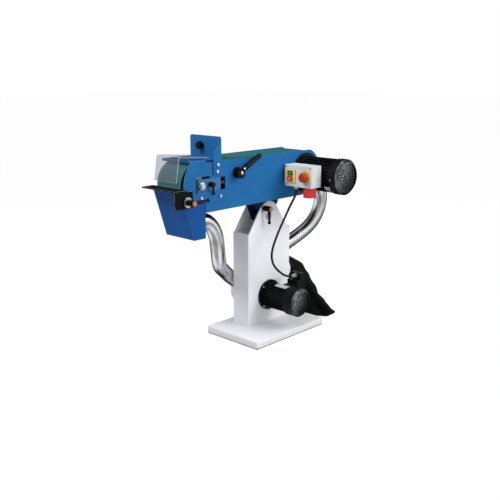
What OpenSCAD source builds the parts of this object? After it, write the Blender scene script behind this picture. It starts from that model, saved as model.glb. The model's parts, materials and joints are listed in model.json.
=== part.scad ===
// Pedestal belt grinding machine with its own dust fan. Millimetres, +Z up.
// X runs to the rear, Y to the far side, and the origin lies under the middle of the base.

/* [Stand] */
// length of the base
base_l = 478; // [440:2:520]
// width of the base
base_w = 328; // [290:2:380]
// height of the folded base
base_h = 32; // [26:1:40]
// thickness of the rubber mat
mat_t = 4; // [2:0.5:8]
// length of the column, front to rear
col_l = 296; // [284:2:310]
// width of the column
col_w = 102; // [98:1:110]
// height of the column's shoulder above the floor
col_top = 488; // [470:1:500]
// middle of the column behind the middle of the base
col_x = 31; // [20:1:36]
// sheet thickness of the stand
sheet = 4; // [3:0.5:5]
// outer radius of the column's folded corners
fold_r = 6; // [5:0.5:8]
// thickness of the two pivot ears
ear_t = 6; // [5:0.5:8]
// how far the ears stand in from the column's faces
ear_in = 3; // [2:0.5:4]
// radius of the ears' round top
ear_r = 70; // [66:1:74]

/* [Tilt] */
// height of the tilt pivot above the floor
pivot_z = 560; // [552:1:564]
// radius of the pivot bolt
pin_r = 10; // [8:0.5:12]
// largest tilt each way, degrees
tilt_max = 18; // [10:1:20]
// radius of the clamp slot about the pivot
slot_r = 50; // [46:1:52]
// where the clamp stud stands in the slot, degrees
stud_a = 127; // [122:1:130]
// length of the clamp levers' arms
clamp_l = 66; // [50:1:76]

/* [Belt and wheels] */
// width of the abrasive belt
belt_w = 150; // [140:1:152]
// length of the abrasive belt round its middle layer
belt_len = 2000; // [1990:1:2010]
// thickness of the abrasive belt
belt_t = 1.5; // [1:0.1:2]
// radius of the contact wheel and of the drive pulley
wheel_r = 100; // [97:0.5:101]
// thickness of the rubber tyre
tyre_t = 12; // [8:1:16]
// contact wheel axis before the middle of the base
wheel_fwd = 445; // [440:1:450]
// height of the contact wheel's axis above the floor
wheel_z = 760; // [758:1:764]
// drop of the drive axis below it, front to rear
drive_drop = 10; // [6:0.5:12]
// radius of the wheel axle
axle_r = 12.5; // [10:0.5:14]
// travel of the tension slide
tension_travel = 20; // [10:1:24]

/* [Head] */
// room beside the belt, out to the face of each plate
side_room = 17.5; // [15.5:0.5:20]
// thickness of the frame plate
plate_t = 5; // [4:0.5:6]
// height of the stop plate over the belt
stop_h = 95; // [80:1:110]
// radius of the drive motor's frame at its fin tips
motor_r = 80; // [77:1:82]
// length of the drive motor from the frame plate
motor_l = 257; // [245:1:270]
// angle of the tension lever over the level, degrees
lever_a = 27; // [15:1:40]
// length of the tension lever from its axis
lever_l = 150; // [130:1:165]

/* [Tool rest and visor] */
// width of the tool rest plate
rest_w = 207; // [190:1:215]
// depth of the tool rest plate
rest_d = 62; // [50:1:75]
// travel of the tool rest away from the belt
rest_travel = 18; // [8:1:20]
// width of the visor
visor_w = 142; // [120:1:160]
// travel of the visor upwards
visor_travel = 25; // [10:1:28]

/* [Dust extraction] */
// height of the fan axis above the floor
fan_z = 170; // [164:1:176]
// radius of the fan motor at its fin tips
fan_r = 62; // [60:0.5:64]
// length of the fan motor from the column
fan_l = 212; // [200:1:224]
// radius of the duct stubs
stub_r = 28; // [26:0.5:28]
// rise of the manifold's two branches, degrees
branch_a = 35; // [30:1:40]
// number of ribs on each duct
duct_ribs = 84; // [60:1:90]

/* [Switch box] */
// length of the switch box
box_l = 160; // [154:1:166]
// height of the switch box
box_h = 100; // [94:1:110]
// travel of the two push buttons
press = 3; // [2:0.5:4]
// travel of the emergency stop
estop_press = 4; // [3:0.5:5]

/* [Hidden] */
$fn = 48;
// running clearance round pins and shafts
run = 0.05;
// clearance between parts that slide
slip = 0.4;
centre_y = 58;
base_top = mat_t + base_h;
cx0 = col_x - col_l/2;
cx1 = col_x + col_l/2;
cy0 = centre_y - col_w/2;
cy1 = centre_y + col_w/2;
pivot_x = col_x - 6;
stud_x = pivot_x + slot_r*cos(stud_a);
stud_z = pivot_z + slot_r*sin(stud_a);
stud_r = 5;
slot_w = 2*stud_r + 3;
lug_t = 10;
ear0 = cy0 + ear_in;
ear1 = cy1 - ear_in;
lug0 = ear0 + ear_t + slip;
lug1 = ear1 - ear_t - slip;
wheel_x = -wheel_fwd;
belt_fit = 0.3;
belt_in = wheel_r + belt_fit;
belt_out = belt_in + belt_t;
axis_gap = (belt_len - 2*PI*(belt_in + belt_t/2))/2;
run_a = asin(drive_drop/axis_gap);
drive_x = wheel_x + axis_gap*cos(run_a);
drive_z = wheel_z - drive_drop;
belt_y0 = centre_y - belt_w/2;
belt_y1 = centre_y + belt_w/2;
head_w = belt_w + 2*side_room;
hy0 = centre_y - head_w/2;
hy1 = centre_y + head_w/2;
cover_t = 3;
skin_t = 6;
head_bot = wheel_z - 118;
head_top = wheel_z + 97;
rear_r = wheel_r + 14;
front_r = 1.62*wheel_r;
far_r = wheel_r - 14;
frame_x0 = wheel_x + 25;
hop_x1 = frame_x0 - 3;
hop_x0 = wheel_x - 111;
hop_z0 = wheel_z - 229;
hop_top = wheel_z - 22;
hop_t = 3;
duct_z = hop_z0 + 59;
slide_h = 54;
slide_z0 = wheel_z - 27;
slide_y0 = hy0 + 1.5;
slide_y1 = belt_y0 - 2.5;
slide_x0 = wheel_x - 17;
slide_x1 = wheel_x + 113;
slide_tail = 11;
cross_x = -262;
cross2_x = 60;
cross_t = 6;
platen_top = wheel_z + wheel_r;
platen_t = 8;
notch = wheel_x + 61;
win_z0 = wheel_z - 27;
win_z1 = wheel_z + 39;
stop_x = wheel_x + 107;
shelf_z = wheel_z + belt_out + 2.2;
shelf_t = 3;
stop_z1 = shelf_z + stop_h;
knob_y = centre_y + 17;
knob_z = stop_z1 - 42;
knob_r = 15;
tab_w = 46;
tab_top = knob_z + 16;
lever_x = wheel_x + 210;
lever_z = wheel_z + 37;
lever_hub_r = 24;
lever_hub_l = 32;
rod_r = 6;
rod_y = hy0 - 20;
grip_r = 11;
rest_top = wheel_z - 3;
rest_t = 6;
rest_x1 = wheel_x - belt_out - 5;
rest_y0 = hy0 - 20;
rest_stud_x = wheel_x - 101;
rest_stud_z = wheel_z - 54;
rest_side_t = 6;
motor_y1 = hy0 - motor_l;
motor_flange = motor_r + 15;
cowl_l = 52;
cowl_r = motor_r + 4;
shaft_r = 14;
box_x0 = 82;
box_x1 = 149;
box_y1 = hy0 - 8.5;
box_y0 = box_y1 - box_l;
box_z0 = wheel_z - 55;
box_z1 = box_z0 + box_h;
lid_t = 4;
lid_x = box_x0 - lid_t;
frame_x = lid_x - 8;
sw_y = box_y1 - 40;
sw_z = wheel_z - 5;
estop_y = box_y1 - 128;
inlet_x = 116;
inlet_y = box_y1 - 122;
inlet_r = 30;
inlet_l = 48;
gland_x = 118;
gland_y = box_y1 - 38;
gland_r = 12;
cable_r = 5.2;
fan_x = pivot_x;
fan_y1 = cy0 - fan_l;
fan_cowl_r = fan_r + 6;
fan_cowl_l = 66;
cowl_t = 2.5;
seat = 0.3;
fan_shaft_r = 12;
man_r = 76;
man_y1 = cy1 + 83;
man_y = cy1 + 41;
branch_l = 128;
duct_on = 104;
out_z = fan_z + 95;
out_r = 50;
out_l = 48;
duct_in = stub_r*1.1;
duct_root = duct_in + 1.4;
duct_crest = duct_in + 3.2;
term_x0 = fan_x + 79;
term_x1 = term_x0 + 36;
term_y1 = cy0 - 74;
term_y0 = term_y1 - 62;
term_z0 = fan_z + 82;
term_z1 = fan_z + 114;
tgl_z = fan_z + 100;
tgl_y = term_y1 - 30;

// Shapes that several parts use.
module bx(x0, x1, y0, y1, z0, z1) {
  translate([x0, y0, z0]) cube([x1 - x0, y1 - y0, z1 - z0]);
}

module ycyl(x, z, r, y0, y1) {
  translate([x, y0, z]) rotate([-90, 0, 0]) cylinder(r = r, h = y1 - y0);
}

module xcyl(y, z, r, x0, x1) {
  translate([x0, y, z]) rotate([0, 90, 0]) cylinder(r = r, h = x1 - x0);
}

module yhex(x, z, r, y0, y1) {
  translate([x, y0, z]) rotate([-90, 0, 0]) cylinder(r = r, h = y1 - y0, $fn = 6);
}

// Draws a flat XZ outline and gives it the depth from y0 to y1.
module side(y0, y1) {
  translate([0, y1, 0]) rotate([90, 0, 0]) linear_extrude(y1 - y0) children();
}

module rect_round(l, w, r) {
  square([l - 2*r, w], center = true);
  square([l, w - 2*r], center = true);
  for (sx = [-1, 1], sy = [-1, 1]) translate([sx*(l/2 - r), sy*(w/2 - r)]) circle(r);
}

// A ring turned about Y, from an outline of radius and depth.
module yturn(x, z, y0) {
  translate([x, y0, z]) rotate([-90, 0, 0]) rotate_extrude() children();
}

// Points of a smooth line through hand-set points.
function spline(p, i, u) =
  let (a = p[max(i - 1, 0)], b = p[i], c = p[i + 1], d = p[min(i + 2, len(p) - 1)])
  0.5*(2*b + (c - a)*u + (2*a - 5*b + 4*c - d)*u*u + (3*b - a - 3*c + d)*u*u*u);
function along(p, t) =
  let (s = t*(len(p) - 1), i = min(floor(s), len(p) - 2)) spline(p, i, s - i);
function unit(v) = v/norm(v);
function heading(p, t) = unit(along(p, min(t + 0.002, 1)) - along(p, max(t - 0.002, 0)));
function ring(p, t, r, n) =
  let (c = along(p, t), f = heading(p, t), a = unit(cross(f, [0, 1, 0])), b = cross(f, a))
  [for (k = [0:n - 1]) c + r*(cos(360*k/n)*a + sin(360*k/n)*b)];
function skin(first, rings, n, out) =
  [for (i = [0:rings - 2], k = [0:n - 1])
    let (a = first + i*n + k, b = first + i*n + (k + 1)%n)
    out ? [a, a + n, b + n, b] : [a, b, b + n, a + n]];

// A duct with its ribs outside and its bore inside.
module ribbed(p, ribs) {
  n = 8;
  outer = 2*ribs + 1;
  inner = 25;
  pts = concat(
    [for (i = [0:outer - 1], q = ring(p, i/(outer - 1), i%2 == 0 ? duct_root : duct_crest, n)) q],
    [for (i = [0:inner - 1], q = ring(p, i/(inner - 1), duct_in, n)) q]);
  m = outer*n;
  e = (outer - 1)*n;
  w = m + (inner - 1)*n;
  polyhedron(pts, concat(
    skin(0, outer, n, true),
    skin(m, inner, n, false),
    [for (k = [0:n - 1]) [k, (k + 1)%n, m + (k + 1)%n, m + k]],
    [for (k = [0:n - 1]) [e + (k + 1)%n, e + k, w + k, w + (k + 1)%n]]));
}

// A solid cord of round section.
module cord(p, r, rings, n) {
  pts = [for (i = [0:rings - 1], q = ring(p, i/(rings - 1), r, n)) q];
  last = (rings - 1)*n;
  polyhedron(pts, concat(
    skin(0, rings, n, true),
    [[for (k = [0:n - 1]) k]],
    [[for (k = [0:n - 1]) last + n - 1 - k]]));
}

// Radial slots of a motor's end grille.
module grille(x, z, y0, y1, r0, r1, count, w) {
  for (i = [0:count - 1])
    translate([x, y0, z]) rotate([0, 360*i/count, 0]) bx(r0, r1, 0, y1 - y0, -w/2, w/2);
}

// A finned motor barrel with its shaft bore.
module barrel(x, z, r, depth, fins, y0, y1) {
  ycyl(x, z, r - depth, y0, y1);
  for (i = [0:fins - 1])
    translate([x, y0, z]) rotate([0, 360*i/fins, 0])
      bx(r - depth - 2, r, 0, y1 - y0, -1.4, 1.4);
}

// A cup-shaped fan cowl, open towards the motor, with a wide chamfer round its sunken grille.
module cowl(x, z, r, y0, y1) {
  lip = r*0.16;
  well = r - lip - 3;
  difference() {
    union() {
      yturn(x, z, y0) polygon([[well, 0], [r - lip, 0], [r, lip], [r, y1 - y0], [r - cowl_t, y1 - y0],
        [r - cowl_t, lip + 2], [well, lip + 2]]);
      ycyl(x, z, well + 1, y0 + 6, y0 + 9);
      ycyl(x, z, r*0.17, y0 + 3, y0 + 7);
    }
    grille(x, z, y0 + 2, y0 + 10, r*0.22, r*0.41, 12, r*0.05);
    grille(x, z, y0 + 2, y0 + 10, r*0.47, r*0.76, 24, r*0.065);
  }
}

// Stand

module rubber_mat() {
  color("#222222") bx(-base_l/2 + 2, base_l/2 - 2, -base_w/2 + 2, base_w/2 - 2, 0, mat_t);
}

module base_plate() {
  color("#e6e7e4") difference() {
    translate([0, 0, mat_t]) linear_extrude(base_h) rect_round(base_l, base_w, 8);
    translate([0, 0, mat_t - 1]) linear_extrude(base_h - sheet + 1)
      rect_round(base_l - 2*sheet, base_w - 2*sheet, 6);
  }
}

module ear_outline() {
  half = pivot_x - cx0 - fold_r;
  drop = pivot_z - col_top;
  reach = norm([half, drop]);
  turn = 180 + atan2(drop, half) - acos(ear_r/reach);
  tx = (ear_r - 0.1)*cos(turn);
  tz = (ear_r - 0.1)*sin(turn);
  polygon([[pivot_x - half, col_top], [pivot_x - half, col_top - 12], [pivot_x + half, col_top - 12],
    [pivot_x + half, col_top], [pivot_x - tx, pivot_z + tz], [pivot_x + tx, pivot_z + tz]]);
  translate([pivot_x, pivot_z]) circle(ear_r);
}

module slot_outline() {
  a0 = stud_a - tilt_max - 1;
  a1 = stud_a + tilt_max + 1;
  translate([pivot_x, pivot_z]) {
    intersection() {
      difference() {
        circle(slot_r + slot_w/2);
        circle(slot_r - slot_w/2);
      }
      polygon([[0, 0], [150*cos(a0), 150*sin(a0)], [150*cos(stud_a), 150*sin(stud_a)],
        [150*cos(a1), 150*sin(a1)]]);
    }
    for (a = [a0, a1]) translate([slot_r*cos(a), slot_r*sin(a)]) circle(slot_w/2 - 0.1);
  }
}

module column() {
  color("#e6e7e4") difference() {
    union() {
      translate([col_x, centre_y, base_top]) linear_extrude(col_top - base_top)
        rect_round(col_l, col_w, fold_r);
      side(ear0, ear0 + ear_t) ear_outline();
      side(ear1 - ear_t, ear1) ear_outline();
      xcyl(centre_y, out_z, out_r, cx1 - 1, cx1 + out_l);
    }
    bx(cx0 + sheet, cx1 - sheet, cy0 + ear_t, cy1 - ear_t, base_top - 1, col_top - sheet);
    xcyl(centre_y, out_z, out_r - 3, cx1 - sheet - 1, cx1 + out_l + 1);
    ycyl(fan_x, fan_z, 50, cy0 - 1, cy0 + ear_t + 1);
    ycyl(fan_x, fan_z, 48, cy1 - ear_t - 1, cy1 + 1);
    ycyl(pivot_x, pivot_z, pin_r + run, cy0 - 1, cy1 + 1);
    side(cy0 - 1, ear0 + ear_t + 1) slot_outline();
  }
}

module pivot_bolt() {
  color("#b8bcc0") {
    ycyl(pivot_x, pivot_z, pin_r, ear0 - 0.5, ear1 + 14);
    yhex(pivot_x, pivot_z, pin_r*1.7, ear0 - 10, ear0);
    yhex(pivot_x, pivot_z, pin_r*1.7, ear1, ear1 + 12);
  }
}

module fan_motor_frame() {
  color("#26272a") difference() {
    union() {
      ycyl(fan_x, fan_z, fan_r + 12, cy0 - 11, cy0);
      ycyl(fan_x, fan_z, 49.9, cy0 - 1, cy0 + ear_t);
      ycyl(fan_x, fan_z, fan_r - 2, cy0 - 26, cy0 - 10);
      barrel(fan_x, fan_z, fan_r, 8, 26, fan_y1 + fan_cowl_l - 8, cy0 - 20);
      ycyl(fan_x, fan_z, fan_cowl_r - cowl_t - seat, fan_y1 + fan_cowl_l - 10, fan_y1 + fan_cowl_l + 3);
    }
    ycyl(fan_x, fan_z, fan_shaft_r + run, fan_y1, cy0 + ear_t + 1);
  }
}

module fan_motor_cowl() {
  color("#1d1e20") cowl(fan_x, fan_z, fan_cowl_r, fan_y1, fan_y1 + fan_cowl_l);
}

module fan_terminal_box() {
  color("#232427") difference() {
    union() {
      bx(term_x0, term_x1, term_y0, term_y1 - 6, term_z0 - 1, term_z1);
      bx(term_x1 - 1, term_x1 + 5, term_y0 - 3, term_y1 - 3, fan_z + 30, term_z1 + 3);
      bx(fan_x + 53, term_x1, term_y0, term_y1, fan_z + 30, term_z0);
      bx(fan_x + 20, term_x1 - 20, term_y0 + 6, term_y1 - 6, fan_z + 26, term_z0 - 18);
    }
    ycyl(fan_x, fan_z, fan_r + seat, term_y0 - 10, term_y1 + 10);
    xcyl(tgl_y, tgl_z, cable_r + 0.6, term_x0 - 1, term_x0 + 12);
  }
}

module fan_gland() {
  color("#c3c6c8") difference() {
    union() {
      translate([term_x0 - 32, tgl_y, tgl_z]) rotate([0, 90, 0]) cylinder(r1 = 7.5, r2 = 10, h = 24);
      translate([term_x0 - 10, tgl_y, tgl_z]) rotate([0, 90, 0]) cylinder(r = 12, h = 10, $fn = 6);
    }
    xcyl(tgl_y, tgl_z, cable_r + 0.6, term_x0 - 40, term_x0 + 1);
  }
}

module fan_flange_bolts() {
  color("#c9ccd0") for (a = [45:90:315])
    yhex(fan_x + (fan_r + 6)*cos(a), fan_z + (fan_r + 6)*sin(a), 5.5, cy0 - 17, cy0 - 11);
}

module fan_shaft() {
  color("#a8acb0") ycyl(fan_x, fan_z, fan_shaft_r, fan_y1 + 14, cy1 - 30);
}

module fan_impeller() {
  y0 = cy0 + ear_t + 8;
  color("#9aa0a5") difference() {
    union() {
      ycyl(fan_x, fan_z, 24, y0, y0 + 50);
      ycyl(fan_x, fan_z, 92, y0, y0 + 3);
      for (i = [0:7])
        translate([fan_x, y0, fan_z]) rotate([0, 45*i, 0]) bx(20, 90, 2, 52, -1.5, 1.5);
    }
    ycyl(fan_x, fan_z, fan_shaft_r + 0.02, y0 - 1, y0 + 60);
  }
}

module branch(sgn, r, l) {
  translate([fan_x, man_y, fan_z]) rotate([0, sgn*(90 - branch_a), 0]) cylinder(r = r, h = l);
}

module fan_inlet_manifold() {
  color("#e6e7e4") difference() {
    union() {
      ycyl(fan_x, fan_z, man_r + 12, cy1, cy1 + 4);
      ycyl(fan_x, fan_z, man_r, cy1, man_y1);
      branch(1, stub_r, branch_l);
      branch(-1, stub_r, branch_l);
    }
    ycyl(fan_x, fan_z, man_r - 3, cy1 - 1, man_y1 - 3);
    branch(1, stub_r - 2, branch_l + 1);
    branch(-1, stub_r - 2, branch_l + 1);
  }
}

// The slack sack, from its gathered neck down to the floor.
module bag_body(x0) {
  hull() {
    xcyl(centre_y, out_z, out_r + 3, x0, x0 + 10, $fn = 24);
    translate([330, 18, 134]) sphere(46, $fn = 14);
    translate([326, 104, 134]) sphere(46, $fn = 14);
    translate([388, -84, 1]) cylinder(r1 = 34, r2 = 24, h = 34, $fn = 16);
    translate([398, 108, 1]) cylinder(r1 = 34, r2 = 26, h = 40, $fn = 16);
    translate([310, -30, 1]) cylinder(r = 24, h = 20, $fn = 12);
    translate([310, 130, 1]) cylinder(r = 24, h = 20, $fn = 12);
  }
}

module dust_bag() {
  neck = cx1 + 8;
  color("#1b1b1d") difference() {
    union() {
      xcyl(centre_y, out_z, out_r + 3, neck, cx1 + 29);
      bag_body(cx1 + 27);
    }
    xcyl(centre_y, out_z, out_r + 0.2, neck - 1, cx1 + out_l + 1);
  }
}
module bag_clamp() {
  color("#b8bcc0") difference() {
    xcyl(centre_y, out_z, out_r + 5, cx1 + 12, cx1 + 24);
    xcyl(centre_y, out_z, out_r + 3.1, cx1 + 11, cx1 + 25);
  }
}

// Where a duct lies on the line of its manifold branch, d from the fan axis.
function on_branch(sgn, d) = [fan_x + sgn*d*cos(branch_a), man_y, fan_z + d*sin(branch_a)];

front_path = [[hop_x1 + 4, centre_y, duct_z], [hop_x1 + 22, centre_y, duct_z],
  [hop_x1 + 40, centre_y, duct_z], [-340, 58, duct_z - 8], [-302, 59, 552], [-277, 60, 508],
  [-263, 64, 458], [-249, 74, 410], [-226, 92, 366], [-192, 118, 328], [-146, 140, 295],
  on_branch(-1, 152), on_branch(-1, 130), on_branch(-1, duct_on)];

module front_hose() {
  color("#b9bdc1") ribbed(front_path, duct_ribs);
}

stub_z = wheel_z - 70;
stub_x1 = drive_x + rear_r + 26;

rear_path = [[stub_x1 - 26, centre_y, stub_z], [stub_x1 - 10, centre_y, stub_z],
  [stub_x1 + 6, centre_y, stub_z], [421, 58, stub_z - 7], [460, 59, 655], [484, 61, 611],
  [491, 66, 561], [480, 74, 507], [452, 86, 457], [411, 102, 417], [358, 120, 384],
  [300, 138, 352], [242, 147, 321], on_branch(1, 200), on_branch(1, 152), on_branch(1, duct_on)];

module rear_hose() {
  color("#b9bdc1") ribbed(rear_path, duct_ribs);
}

module stand_hose_clamps() {
  color("#c9ccd0") for (s = [-1, 1])
    translate([fan_x, man_y, fan_z]) rotate([0, s*(90 - branch_a), 0]) difference() {
      translate([0, 0, duct_on + 4]) cylinder(r = duct_crest + 2.2, h = 10);
      translate([0, 0, duct_on + 3]) cylinder(r = duct_crest + 0.5, h = 12);
    }
}

cable_path = [[gland_x, gland_y, box_z0 - 8], [gland_x - 1, gland_y, box_z0 - 30], [106, -82, 650],
  [71, -84, 611], [32, -85, 560], [-6, -86, 509], [-37, -88, 463], [-56, -89, 425], [-62, -90, 392],
  [-55, -92, 360], [-33, -93, 330], [6, -95, 297], [42, -96, 278], [term_x0 - 32, tgl_y, tgl_z],
  [term_x0 - 12, tgl_y, tgl_z]];

module motor_cable() {
  color("#17171a") cord(cable_path, cable_r, 64, 8);
}

// Head

module plate_outline() {
  difference() {
    union() {
      translate([frame_x0, head_bot]) square([drive_x - frame_x0, head_top - head_bot]);
      intersection() {
        translate([drive_x, drive_z]) circle(rear_r);
        translate([drive_x - 1, head_bot]) square([rear_r + 2, head_top - head_bot]);
      }
    }
    translate([frame_x0 - 1, slide_z0 - slip])
      square([slide_x1 + tension_travel + 8 - frame_x0, slide_h + 2*slip]);
    translate([frame_x0 - 1, slide_z0]) square([notch - 11 - frame_x0, win_z1 + 1 - slide_z0]);
  }
}

// Places what lies along the belt's run, which falls to the drive axis, with X from the contact wheel.
module on_run() {
  translate([wheel_x, 0, wheel_z]) rotate([0, run_a, 0]) children();
}

module head_frame() {
  inner = hy0 + plate_t;
  color("#1f63a8") difference() {
    union() {
      side(hy0, inner) plate_outline();
      bx(frame_x0, drive_x + 20, inner - 0.5, hy1 - cover_t, head_bot, head_bot + 4);
      for (x = [cross_x, cross2_x])
        difference() {
          bx(x, x + cross_t, inner - 0.5, belt_y1 - 6, wheel_z - 70, platen_top);
          on_run() bx(0, axis_gap, inner - 2, hy1, wheel_r - platen_t, wheel_r + 40);
        }
    }
    ycyl(drive_x, drive_z, 60, hy0 - 1, inner + 1);
    ycyl(lever_x, lever_z, 8 + run, hy0 - 1, inner + 1);
    ycyl(84, wheel_z + 68, 3, hy0 - 1, inner + 1);
  }
}

module belt_cover() {
  color("#1f63a8") side(hy1 - cover_t, hy1) {
    translate([wheel_x, wheel_z - 73]) square([frame_x0 - wheel_x + 1, far_r + 73]);
    translate([frame_x0, head_bot]) square([drive_x - frame_x0, head_top - head_bot]);
    intersection() {
      translate([drive_x, drive_z]) circle(rear_r);
      translate([drive_x - 1, head_bot]) square([rear_r + 2, head_top - head_bot]);
    }
    intersection() {
      translate([wheel_x, wheel_z]) circle(far_r);
      translate([wheel_x - far_r, wheel_z - 73]) square([far_r + 1, far_r + 73]);
    }
  }
}

module rear_guard() {
  color("#1f63a8") difference() {
    union() {
      intersection() {
        ycyl(drive_x, drive_z, rear_r, hy0 + plate_t, hy1 - cover_t);
        side(hy0, hy1) polygon([[drive_x + 20, head_bot + 4], [drive_x + 200, head_bot + 4],
          [drive_x + 200, head_top], [drive_x + 60, head_top], [drive_x + 30, wheel_z]]);
      }
      xcyl(centre_y, stub_z, stub_r, drive_x + 60, stub_x1);
    }
    ycyl(drive_x, drive_z, rear_r - 3, hy0, hy1);
    xcyl(centre_y, stub_z, stub_r - 2, drive_x, stub_x1 + 1);
  }
}

module contact_side_plate() {
  low = wheel_z - 73;
  top = shelf_z + shelf_t;
  color("#2469b0") difference() {
    union() {
      side(hy0 - skin_t, hy0) difference() {
        union() {
          intersection() {
            translate([wheel_x + 59, wheel_z - 7]) circle(front_r);
            translate([wheel_x - front_r, low]) square([notch - wheel_x + front_r, top - low]);
          }
          translate([notch - 1, low]) square([92, win_z0 - low]);
          translate([rest_stud_x - 20, low]) square([50, 40]);
        }
        translate([wheel_x - 37, win_z0]) square([notch - wheel_x + 60, win_z1 - win_z0]);
        polygon([[wheel_x + 19, top + 1], [notch + 1, top + 1], [notch + 1, win_z1 + 4],
          [notch - 8, win_z1 + 4]]);
      }
      ycyl(rest_stud_x, rest_stud_z, 15, rest_y0 + slip, hy0 - skin_t + 1);
    }
    ycyl(rest_stud_x, rest_stud_z, stud_r + run, rest_y0 - 1, hy0 + 1);
  }
}

module head_fasteners() {
  skin = hy0 - skin_t;
  color("#c9ccd0") {
    yhex(wheel_x - 8, wheel_z - 50, 8, skin - 6, skin);
    yhex(wheel_x + 103, wheel_z - 54, 8, skin - 6, skin);
    yhex(stop_x - 17, wheel_z + 82, 8, skin - 6, skin);
    yhex(stop_x - 21, wheel_z + 53, 8, skin - 6, skin);
    for (y = [hy0 + 22, hy1 - 22])
      translate([wheel_x - 44, y, shelf_z + shelf_t]) cylinder(r = 4.5, h = 2.5);
    for (a = [45:90:315])
      yhex(drive_x + 72*cos(a), drive_z + 72*sin(a), 6, hy0 + plate_t, hy0 + plate_t + 5);
    for (y = [box_y0 + 8, box_y1 - 8], z = [box_z0 + 8, box_z1 - 8])
      xcyl(y, z, 3, lid_x - 1.6, lid_x);
  }
}

module lug_outline() {
  polygon([[pivot_x - 70, head_bot], [pivot_x - 70, head_bot - 20], [pivot_x - 36, pivot_z],
    [pivot_x + 36, pivot_z], [pivot_x + 75, head_bot - 20], [pivot_x + 75, head_bot]]);
  translate([pivot_x, pivot_z]) circle(36);
}

module pivot_bracket() {
  color("#1b568f") difference() {
    union() {
      side(lug0, lug0 + lug_t) lug_outline();
      side(lug1 - lug_t, lug1) lug_outline();
      bx(pivot_x - 70, pivot_x + 75, lug0, lug1, head_bot - 8, head_bot);
      ycyl(pivot_x, pivot_z, pin_r + 8, lug0, lug1);
    }
    ycyl(pivot_x, pivot_z, pin_r + run, lug0 - 1, lug1 + 1);
    ycyl(stud_x, stud_z, stud_r + run, lug0 - 1, lug0 + lug_t + 1);
  }
}

module platen() {
  color("#8f959b") on_run() bx(cross_x - 70 - wheel_x, cross2_x + 80 - wheel_x, belt_y0 + 4, belt_y1 - 4,
    wheel_r - platen_t, wheel_r);
}

module belt_outline(r) {
  translate([wheel_x, wheel_z]) rotate(-run_a) {
    translate([0, -r]) square([axis_gap, 2*r]);
    circle(r);
    translate([axis_gap, 0]) circle(r);
  }
}

module abrasive_belt() {
  color("#2f7d72") side(belt_y0, belt_y1) difference() {
    belt_outline(belt_out);
    belt_outline(belt_in);
  }
}

module spark_hopper() {
  foot = wheel_x - 45;
  top_z = wheel_z - 38;
  far = hy1 - cover_t;
  color("#1f63a8") difference() {
    union() {
      side(hy0, far) polygon([[hop_x0, hop_top], [foot, hop_z0], [hop_x1, hop_z0], [hop_x1, top_z],
        [hop_x0 + 50, top_z]]);
      xcyl(centre_y, duct_z, stub_r, hop_x1 - 1, hop_x1 + 24);
    }
    side(hy0 + hop_t, far - hop_t) polygon([[hop_x0 + hop_t, hop_top + 1], [foot + hop_t, hop_z0 + hop_t],
      [hop_x1 - hop_t, hop_z0 + hop_t], [hop_x1 - hop_t, hop_top + 1]]);
    bx(hop_x1 - hop_t - 1, hop_x1 + 1, hy0 + hop_t, far - hop_t, head_bot, hop_top);
    xcyl(centre_y, duct_z, stub_r - 2, hop_x1 - hop_t - 1, hop_x1 + 25);
  }
}

module head_hose_clamps() {
  color("#c9ccd0") for (x = [hop_x1 + 9, stub_x1 - 22])
    difference() {
      xcyl(centre_y, x < 0 ? duct_z : stub_z, duct_crest + 2.2, x, x + 10);
      xcyl(centre_y, x < 0 ? duct_z : stub_z, duct_crest + 0.5, x - 1, x + 11);
    }
}

module stop_bracket() {
  color("#2469b0") difference() {
    union() {
      translate([stop_x, 0, 0]) rotate([90, 0, 90]) linear_extrude(skin_t)
        translate([centre_y - skin_t/2, (shelf_z + stop_z1)/2])
          rect_round(head_w + skin_t, stop_z1 - shelf_z, 10);
      translate([stop_x, hy0 - skin_t, shelf_z]) cube([skin_t, head_w + skin_t, 30]);
      side(hy0 - skin_t, hy0) polygon([[stop_x - 40, wheel_z + 39], [stop_x + skin_t, wheel_z + 39],
        [stop_x + skin_t, shelf_z + 66], [stop_x, shelf_z + 66], [stop_x - 40, shelf_z + 30]]);
    }
    xcyl(knob_y, knob_z, 3 + run, stop_x - 1, stop_x + skin_t + 1);
  }
}

module wheel_guard() {
  front = wheel_x - 56;
  color("#2469b0") {
    bx(front, stop_x, hy0, hy1, shelf_z, shelf_z + shelf_t);
    bx(front, front + shelf_t, hy0, hy1, shelf_z - 8, shelf_z + 1);
  }
}

module visor() {
  t = 3;
  back = stop_x - slip;
  low = shelf_z + shelf_t + slip;
  y0 = centre_y - 7 - visor_w/2;
  y1 = centre_y - 7 + visor_w/2;
  color("#cfe3ea") {
    side(y0, y1) polygon([[back, low], [back, low + t], [wheel_x - 106, low + 19 + t],
      [wheel_x - 109, low + 16], [wheel_x - 125, low - 84], [wheel_x - 122, low - 84.5],
      [wheel_x - 106, low + 15], [back - 8, low]]);
    difference() {
      bx(back - t, back, knob_y - tab_w/2, knob_y + tab_w/2, low, tab_top);
      bx(back - t - 1, back + 1, knob_y - 3 - slip, knob_y + 3 + slip,
        knob_z - 4 - visor_travel, knob_z + 4);
    }
  }
}

module visor_knob() {
  color("#1b1c1e") {
    xcyl(knob_y, knob_z, 3, stop_x - 8, stop_x + skin_t);
    xcyl(knob_y, knob_z, knob_r, stop_x - 26, stop_x - 4.4);
    for (i = [0:5])
      translate([stop_x - 24, knob_y, knob_z]) rotate([60*i, 0, 0]) xcyl(0, knob_r - 2, 3.6, 0, 17);
  }
}

// Tension slide and contact wheel

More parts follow.
